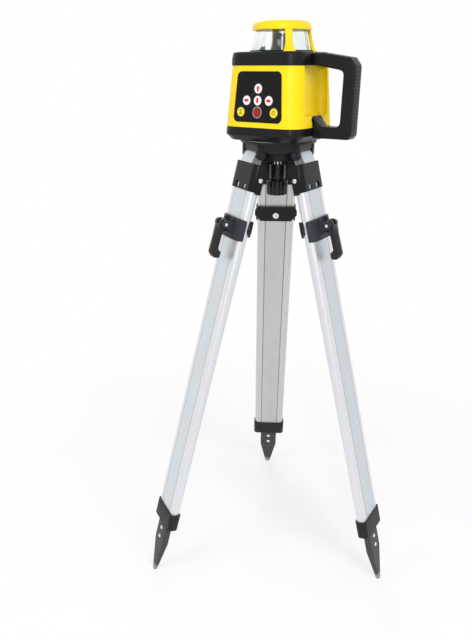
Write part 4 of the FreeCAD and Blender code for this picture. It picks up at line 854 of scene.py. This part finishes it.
def lever_bore(bm, leg):
    lie = axis_matrix((-BORE_HALF, LEVER_PIVOT_OFFSET, -LEVER_PIVOT_DROP), (1, 0, 0))
    length = 2 * BORE_HALF
    lathe(bm, [(0, 0), (BORE_RADIUS, 0), (BORE_RADIUS, length), (0, length)], LEG_FRAMES[leg] @ lie, 32)


def make_legs():
    for leg in LEGS:
        make_piece("yoke_screw_" + leg, lambda bm: yoke_screw_mesh(bm, leg), "upper_" + leg,
                   "fastener", ["yoke_pin_" + leg], SHARP_METAL)
        lever = make_piece("cam_lever_" + leg, lambda bm: lever_mesh(bm, leg), "lever_" + leg, "lever",
                           ["clamp_lever_" + leg])
        for cutter_maker in (lever_room, lever_swing_room, lever_bore):
            carve(lever, lambda bm: cutter_maker(bm, leg))


# ---------------- level pieces

CORNER_STEPS = 12
SIDE_STEPS = 6
LONGEST_EDGE = 12.0      # longer edges of the outline are split into SIDE_STEPS
RIM_ROUND = 4.5
RIM_ROUND_INSET = 4.2
RIM_ROUND_STEPS = 5
RIM_PROFILE = [          # (height, growth of the housing's outline)
    (SHELL_TOP, -3.0), (SHELL_TOP, RIM_PROUD - 0.7), (SHELL_TOP + 0.7, RIM_PROUD),
    (SHELL_TOP + 6, RIM_PROUD + 0.5), (TOP_HEIGHT - 10, RIM_PROUD + 0.6), (TOP_HEIGHT - RIM_ROUND, RIM_PROUD),
]
DECK_EDGE = [(TOP_HEIGHT, -4.0), (DECK_HEIGHT, -4.9)]
SEAT_PROFILE = [         # (radius, height) of the lantern's seat and the rotor's well
    (61.0, DECK_HEIGHT), (60.4, TOP_HEIGHT), (53.0, TOP_HEIGHT), (52.0, 145.5), (40.0, 145.5), (39.0, 147.0),
    (28.0, 147.0), (WELL_RADIUS, 146.0),
]
HANGER_HALF = 8.0
HANGER_END_ROUND = 7.9
HANGER_THICKNESS_HALF = 3.0
HANGER_GAP = 0.3         # between the gimbal ring and the arm
HORN_FOOT = [(8, 147.4), (13, 148.6)]       # (Y, height) of the sighting fin
HORN_TIP = [(40.2, 159.2), (41.6, 158.4), (42.6, 153), (44.5, 147.4)]
HORN_SWEEP_START = (16, 148.9)
HORN_SWEEP_RUN = 22
HORN_SWEEP_RISE = 9.6
HORN_SWEEP_POWER = 2.1
HORN_SWEEP_STEPS = 6
HORN_HALF = 3.6
HORN_LEAN = 0.16


def housing_ring(z, grow):
    """Points of the housing's outline at a height, moved out by grow."""
    half_x = LEVEL_WIDTH / 2 - LEVEL_TAPER * z + grow
    half_y = LEVEL_DEPTH / 2 - LEVEL_TAPER * z + grow
    radius = LEVEL_CORNER + grow
    ring = []
    for quarter, (sign_x, sign_y) in enumerate(((1, 1), (-1, 1), (-1, -1), (1, -1))):
        centre = Vector((sign_x * (half_x - radius), sign_y * (half_y - radius), z))
        for step in range(CORNER_STEPS + 1):
            angle = math.pi / 2 * (quarter + step / CORNER_STEPS)
            ring.append(centre + radius * Vector((math.cos(angle), math.sin(angle), 0)))
    full = []
    for index, point in enumerate(ring):
        following = ring[(index + 1) % len(ring)]
        parts = SIDE_STEPS if (following - point).length > LONGEST_EDGE else 1
        full += [point.lerp(following, part / parts) for part in range(parts)]
    return full


def round_ring(radius, z):
    """Circle with one point in the direction of each point of the housing's outline."""
    ring = []
    for point in housing_ring(TOP_HEIGHT, 0.0):
        direction = Vector((point.x, point.y, 0)).normalized()
        ring.append(direction * radius + Vector((0, 0, z)))
    return ring


def top_cover_mesh(bm):
    """Rim band, recessed deck, lantern seat and rotor well in one shell, and the gimbal's two hangers."""
    rings = [round_ring(WELL_RADIUS, SHELL_TOP)] + [housing_ring(z, grow) for z, grow in RIM_PROFILE]
    for step in range(1, RIM_ROUND_STEPS + 1):
        angle = math.pi / 2 * step / RIM_ROUND_STEPS
        height = TOP_HEIGHT - RIM_ROUND + RIM_ROUND * math.sin(angle)
        rings.append(housing_ring(height, RIM_PROUD - RIM_ROUND_INSET * (1 - math.cos(angle))))
    rings += [housing_ring(z, grow) for z, grow in DECK_EDGE]
    deck_start = len(rings) - 1
    rings += [round_ring(radius, z) for radius, z in SEAT_PROFILE]
    faces = skin(bm, rings, LEVEL, closed=True)
    count = len(rings[0])
    for face in faces[deck_start * count:(deck_start + 1) * count]:
        face.material_index = 1
    for side in (-1, 1):
        hanger_mesh(bm, side)


def hanger_mesh(bm, side):
    """Arm that reaches down from the top cover to one end of the gimbal ring's axis."""
    foot = GIMBAL_HEIGHT - HANGER_HALF
    head = SHELL_TOP + 1
    outline = rounded_outline([(-HANGER_HALF, foot, HANGER_END_ROUND), (HANGER_HALF, foot, HANGER_END_ROUND),
                               (HANGER_HALF, head, 0), (-HANGER_HALF, head, 0)])
    middle = side * (GIMBAL_RADIUS + HANGER_GAP + HANGER_THICKNESS_HALF)
    stations = round_stations(HANGER_THICKNESS_HALF, 0.6, 2)
    slab(bm, outline, stations, lambda y, z, x: (middle + x, y, z), LEVEL)


def horn_mesh(bm):
    """Sighting fin on the rim's back left, swept up to its tip with a hollow front edge."""
    points = list(HORN_FOOT)
    start_y, start_z = HORN_SWEEP_START
    for step in range(HORN_SWEEP_STEPS + 1):
        share = step / HORN_SWEEP_STEPS
        points.append((start_y + HORN_SWEEP_RUN * share, start_z + HORN_SWEEP_RISE * share ** HORN_SWEEP_POWER))
    outline = [Vector(point) for point in points + HORN_TIP]
    side = -LEVEL_WIDTH / 2 + LEVEL_TAPER * TOP_HEIGHT + HORN_HALF

    def lean(y, z, x):
        return (side + x + HORN_LEAN * (z - TOP_HEIGHT), y, z)

    slab(bm, outline, round_stations(HORN_HALF, 1.1, 3), lean, LEVEL)


# The handle seen from the front: (X, Z, corner radius)
HANDLE_CORNERS = [
    (83.9, 6, 0), (154, 6, 5), (160, 13, 7), (158.4, 126, 9), (148, 138.5, 8), (96, 146, 30), (75.2, 146.6, 0),
    (76.8, 126.2, 0), (92, 124.6, 14), (136.4, 117.5, 9), (136.2, 26.5, 9), (99, 26.5, 12), (86, 38, 7), (82.2, 44, 0),
]
GRIP_FOOT, GRIP_HEAD = HANDLE_CORNERS[2:4]  # ends of the grip's outer face
HANDLE_ROUND = 4.6
HANDLE_FLARE = 0.28
HANDLE_FLARE_START = 104.0
HANDLE_FLARE_RUN = 24.0
GRIP_RIBS = 17
GRIP_RIB_LOW = 26.0
GRIP_RIB_HIGH = 116.0
GRIP_RIB_HALF = 9.6
GRIP_RIB_RADIUS = 1.35
GRIP_RIB_SINK = 0.7
ARM_RIDGE_START = (92.0, 145.2)
ARM_RIDGE_END = (147.0, 137.6)
ARM_RIDGE_SIDE = 10.5
ARM_RIDGE_RADIUS = 1.2


def handle_point(x, z, y):
    """The arms flare towards the housing, as the handle's roots do."""
    near = unit((HANDLE_FLARE_START - x) / HANDLE_FLARE_RUN)
    return (x, y * (1 + HANDLE_FLARE * near * near), z)


def handle_mesh(bm):
    stations = round_stations(HANDLE_HALF_DEPTH, HANDLE_ROUND, 5)
    slab(bm, rounded_outline(HANDLE_CORNERS, 8), stations, handle_point, LEVEL)


def grip_ribs_mesh(bm):
    """Fine ribs across the grip's outer face."""
    slope = (GRIP_HEAD[0] - GRIP_FOOT[0]) / (GRIP_HEAD[1] - GRIP_FOOT[1])
    for index in range(GRIP_RIBS):
        z = GRIP_RIB_LOW + (GRIP_RIB_HIGH - GRIP_RIB_LOW) * index / (GRIP_RIBS - 1)
        x = GRIP_FOOT[0] + slope * (z - GRIP_FOOT[1]) - GRIP_RIB_SINK
        capsule(bm, (x, -GRIP_RIB_HALF, z), (x, GRIP_RIB_HALF, z), GRIP_RIB_RADIUS, LEVEL)


def arm_ridge_mesh(bm):
    """Raised ridges along the top of the handle's upper arm."""
    for side in (-ARM_RIDGE_SIDE, ARM_RIDGE_SIDE):
        start, end = ((x, side, z) for x, z in (ARM_RIDGE_START, ARM_RIDGE_END))
        capsule(bm, start, end, ARM_RIDGE_RADIUS, LEVEL)


CAP_BOTTOM = GLASS_TOP + 0.1
CAP_PROFILE = [          # (radius, height above the cap's foot)
    (0, 0), (46, 0), (52.6, 0), (53.7, 0.5), (CAP_RADIUS, 1.6), (CAP_RADIUS - 0.3, 5), (CAP_RADIUS - 1.3, 8.6),
    (CAP_RADIUS - 3.4, 11.6), (CAP_RADIUS - 7, 13.8), (40, 15.0), (26, 15.7),
]
CAP_CROWN = [(12, CAGE_TOP - 0.05), (0, CAGE_TOP)]
LANTERN_STEPS = 96
PILLAR_LEVELS = 12
PILLAR_INTO_CAP = 3.0
PILLAR_GAP = 0.6         # between the glass and the pillar
PILLAR_THICKNESS = 6.0
PILLAR_HALF = 7.2
PILLAR_WAIST = 1.0
PILLAR_FLARE_THICKNESS = 4.2
PILLAR_FLARE_HALF = 5.0
PILLAR_FLARE_FADE = 6.5
SEAL_GAP = 0.1
SEAL_WIDTH = 2.5
SEAL_HEIGHT = 2.4


def cage_mesh(bm):
    """Domed cap on its flared pillars."""
    profile = [(radius, CAP_BOTTOM + rise) for radius, rise in CAP_PROFILE] + CAP_CROWN
    lathe(bm, profile, LEVEL, LANTERN_STEPS)
    for angle in PILLAR_ANGLES:
        pillar_mesh(bm, angle)


def pillar_mesh(bm, angle):
    turn = LEVEL @ Matrix.Rotation(math.radians(angle), 4, "Z")
    rings = []
    slope = (GLASS_FOOT_RADIUS - GLASS_HEAD_RADIUS) / (GLASS_TOP - GLASS_BOTTOM)
    for index in range(PILLAR_LEVELS + 1):
        share = index / PILLAR_LEVELS
        z = DECK_HEIGHT + (GLASS_TOP + PILLAR_INTO_CAP - DECK_HEIGHT) * share
        flare = math.exp(-PILLAR_FLARE_FADE * share)
        inner = GLASS_FOOT_RADIUS + PILLAR_GAP - slope * (z - GLASS_BOTTOM)
        outer = inner + PILLAR_THICKNESS + PILLAR_FLARE_THICKNESS * flare
        half = PILLAR_HALF + PILLAR_FLARE_HALF * flare - PILLAR_WAIST * math.sin(math.pi * share)
        outline = rounded_outline([(inner, -half, 0.8), (outer, -half, 2.4), (outer, half, 2.4), (inner, half, 0.8)], 4)
        rings.append([(point.x, point.y, z) for point in outline])
    skin(bm, rings, turn)


def ring_profile(inner, outer, low, high, edge):
    return [(inner, low), (outer, low), (outer, high - edge), (outer - edge, high), (inner + edge, high),
            (inner, high - edge)]


def seal_mesh(bm):
    inner = GLASS_FOOT_RADIUS + SEAL_GAP
    profile = ring_profile(inner, inner + SEAL_WIDTH, TOP_HEIGHT, TOP_HEIGHT + SEAL_HEIGHT, 0.7)
    lathe(bm, profile, LEVEL, LANTERN_STEPS, closed=True)


def make_level():
    make_piece("top_cover", top_cover_mesh, "level", "housing deck", ["top_housing"])
    make_piece("sight_horn", horn_mesh, "level", "housing")
    make_piece("carry_handle", handle_mesh, "level", "housing", ["handle"])
    make_piece("grip_ribs", grip_ribs_mesh, "level", "grip")
    make_piece("arm_ridges", arm_ridge_mesh, "level", "housing")
    make_piece("lantern_frame", cage_mesh, "level", "lantern_yellow", ["lantern_cage"])
    make_piece("lantern_seal", seal_mesh, "level", "rubber")


# ---------------- keypad

INK_HEIGHT = 0.14
PANEL_STEP = 1.4         # a key's face stands this far out of the panel
ARROW = [(-2.2, -4.9), (2.2, -4.9), (2.2, 0.2), (4.3, 0.2), (0, 5.3), (-4.3, 0.2), (-2.2, 0.2)]
ARROW_ROUND = 0.45
ARROW_TURNS = {"key_up": 0.0, "key_left": 90.0, "key_down": 180.0, "key_right": -90.0}
SIGNS = {                # arcs (radius, width, from, to in degrees) and bars (half width, low, high, corner)
    "key_scan": ([(2.0, 0.9, 35, 145), (2.0, 0.9, 215, 325), (3.8, 0.9, 35, 145), (3.8, 0.9, 215, 325),
                  (0.45, 0.8, 0, 359)], []),
    "key_manual": ([(3.6, 0.9, 20, 340)], [(0.9, -1.6, 1.6, 0.4)]),
    "key_power": ([(3.1, 1.1, 120, 420)], [(0.55, 1.2, 4.9, 0.25)]),
}
RING_RADIUS = 9.2
PLAIN_RING = (0.7, 0.2, "panel_ink")        # width, height and paint of the ring round a key
MANUAL_RING = (1.3, 0.45, "ring_grey")
LINK_INSET = 9.4         # the printed lines stop this far from a key's middle
LINK_HALF = 0.22
LINK_HEIGHT = 0.1


def ink(bm, outline, matrix, height=INK_HEIGHT):
    """Thin raised print: an outline in (across, up) on a face, standing out by its height."""
    rings = [[(point.x, -rise, point.y) for point in outline] for rise in (0.0, height)]
    skin(bm, rings, matrix)


def arrow_mesh(bm, key):
    turn = Matrix.Rotation(math.radians(ARROW_TURNS[key]), 2)
    outline = rounded_outline([(*(turn @ Vector(point)), ARROW_ROUND) for point in ARROW], 3)
    ink(bm, outline, KEY_FRAMES[key])


def sign_mesh(bm, key):
    arcs, bars = SIGNS[key]
    for arc in arcs:
        ink(bm, arc_band(*arc), KEY_FRAMES[key])
    for half, low, high, corner in bars:
        corners = [(-half, low, corner), (half, low, corner), (half, high, corner), (-half, high, corner)]
        ink(bm, rounded_outline(corners, 3), KEY_FRAMES[key])


def panel_spot(key):
    """Frame on the panel's face round a key."""
    return KEY_FRAMES[key] @ Matrix.Translation((0, PANEL_STEP, 0))


def panel_ring_mesh(bm, key, width, height):
    profile = ring_profile(RING_RADIUS - width / 2, RING_RADIUS + width / 2, 0.0, height, 0.08)
    lathe(bm, profile, panel_spot(key) @ axis_matrix((0, 0, 0), (0, -1, 0)), 64, closed=True)


def link_lines_mesh(bm):
    """Faint printed lines that link the arrow keys and the key under them."""
    pairs = (("key_left", "key_up"), ("key_up", "key_right"), ("key_right", "key_manual"), ("key_manual", "key_left"))
    base = panel_spot("key_down")
    back = base.inverted()
    for first, second in pairs:
        start = back @ panel_spot(first).translation
        end = back @ panel_spot(second).translation
        run = Vector((end.x - start.x, end.z - start.z)).normalized()
        near = Vector((start.x, start.z)) + run * LINK_INSET
        far = Vector((end.x, end.z)) - run * LINK_INSET
        side = Vector((-run.y, run.x)) * LINK_HALF
        ink(bm, [near - side, far - side, far + side, near + side], base, LINK_HEIGHT)


def make_keypad():
    for key in ARROW_TURNS:
        make_piece("print_" + key, lambda bm: arrow_mesh(bm, key), "body_" + key, "red_ink")
    for key in SIGNS:
        make_piece("print_" + key, lambda bm: sign_mesh(bm, key), "body_" + key, "dark_ink")
    for key in KEYS:
        width, height, paint = MANUAL_RING if key == "key_manual" else PLAIN_RING
        make_piece("ring_" + key, lambda bm: panel_ring_mesh(bm, key, width, height), "level", paint)
    make_piece("panel_lines", link_lines_mesh, "level", "panel_ink")


# ---------------- stage, lights and camera

CAMERA_OFFSET = Vector((-0.0122, -1.262))    # from the tripod's axis
CAMERA_HEIGHT = 1.1244
CAMERA_HEADING = math.radians(3.25)
CAMERA_PITCH = math.radians(28.12)
CAMERA_LENS = 33.4
CAMERA_SENSOR = 36.0
CAMERA_SHIFT = 0.10
CAMERA_REACH = 100.0
FLOOR_HALF = 9.0
FLOOR_GLOW = 0.55        # share of plain white in the floor under the tripod
FADE_START = 0.25
FADE_END = 1.3
WORLD_LEVEL = 0.62
WHITE = (1.0, 1.0, 1.0, 1.0)
# Place, size, power and whether the lamp shows in gloss. The two big front lamps don't, because their
# mirror images would burn out the drawn aluminium.
LIGHTS = {
    "strip_light": ((0.1, -2.5, 1.9), (0.3, 1.5), 13.0, True),
    "key_light": ((1.5, -2.3, 2.5), (1.4, 1.4), 38.0, False),
    "fill_light": ((-2.2, -1.4, 1.6), (1.2, 1.8), 17.0, False),
    "back_light": ((-0.6, 2.4, 2.6), (1.6, 1.0), 17.0, True),
}


def white_seen_directly(tree):
    """1 for rays from the camera, off gloss and through glass, else 0."""
    path = node(tree, "LightPath")
    seen = math_node(tree, "MAXIMUM", path.outputs["Is Camera Ray"], path.outputs["Is Glossy Ray"])
    return math_node(tree, "MAXIMUM", seen, path.outputs["Is Transmission Ray"])


def make_world():
    world = bpy.data.worlds.new("studio")
    bpy.context.scene.world = world
    tree = empty_tree(world)
    strength = remap(tree, white_seen_directly(tree), 0.0, 1.0, WORLD_LEVEL, 1.0)
    background = node(tree, "Background", {"Color": WHITE, "Strength": strength})
    node(tree, "OutputWorld", {"Surface": background.outputs[0]})


def floor_material():
    """Pale floor that keeps soft shadows under the feet and fades to white away from them."""
    material = bpy.data.materials.new("floor_white")
    tree = empty_tree(material)
    place = object_place(tree)
    tint = ramp(tree, noise(tree, place, 3.0, 3.0), [(0.3, (0.91, 0.91, 0.91)), (0.7, (0.94, 0.94, 0.94))])
    diffuse = node(tree, "BsdfDiffuse", {"Color": tint})
    glow = node(tree, "Emission", {"Color": WHITE, "Strength": 1.0})
    distance = node(tree, "VectorMath", {0: place}, operation="LENGTH").outputs["Value"]
    faded = remap(tree, distance, FADE_START, FADE_END, FLOOR_GLOW, 1.0)
    share = math_node(tree, "MULTIPLY", white_seen_directly(tree), faded)
    mixed = node(tree, "MixShader", {0: share, 1: diffuse.outputs[0], 2: glow.outputs[0]})
    node(tree, "OutputMaterial", {"Surface": mixed.outputs[0]})
    return material


def make_floor():
    bm = bmesh.new()
    bmesh.ops.create_grid(bm, x_segments=8, y_segments=8, size=FLOOR_HALF)
    mesh = bpy.data.meshes.new("studio_floor")
    bm.to_mesh(mesh)
    bm.free()
    mesh.materials.append(floor_material())
    floor = bpy.data.objects.new("studio_floor", mesh)
    bpy.context.scene.collection.objects.link(floor)


def make_lights():
    middle = (CAD_LOW + CAD_HIGH) / 2
    for name, (place, (width, height), power, in_gloss) in LIGHTS.items():
        lamp = bpy.data.lights.new(name, "AREA")
        lamp.shape = "RECTANGLE"
        lamp.size = width
        lamp.size_y = height
        lamp.energy = power
        light = bpy.data.objects.new(name, lamp)
        light.location = place
        light.rotation_euler = (middle - Vector(place)).to_track_quat("-Z", "Y").to_euler()
        light.visible_glossy = in_gloss
        bpy.context.scene.collection.objects.link(light)


def make_camera():
    camera = bpy.data.cameras.new("photo_camera")
    camera.lens = CAMERA_LENS
    camera.sensor_width = CAMERA_SENSOR
    camera.shift_y = CAMERA_SHIFT
    camera.clip_end = CAMERA_REACH
    holder = bpy.data.objects.new("photo_camera", camera)
    axis = HEAD.translation
    holder.location = (axis.x + CAMERA_OFFSET.x, axis.y + CAMERA_OFFSET.y, CAMERA_HEIGHT)
    level = math.cos(CAMERA_PITCH)
    look = Vector((-math.sin(CAMERA_HEADING) * level, math.cos(CAMERA_HEADING) * level, -math.sin(CAMERA_PITCH)))
    holder.rotation_euler = look.to_track_quat("-Z", "Y").to_euler()
    bpy.context.scene.collection.objects.link(holder)
    bpy.context.scene.camera = holder


bpy.context.scene.view_settings.view_transform = "Standard"
finish_cad_nodes()
make_head()
make_knob()
make_legs()
make_level()
make_keypad()
make_world()
make_floor()
make_lights()
make_camera()
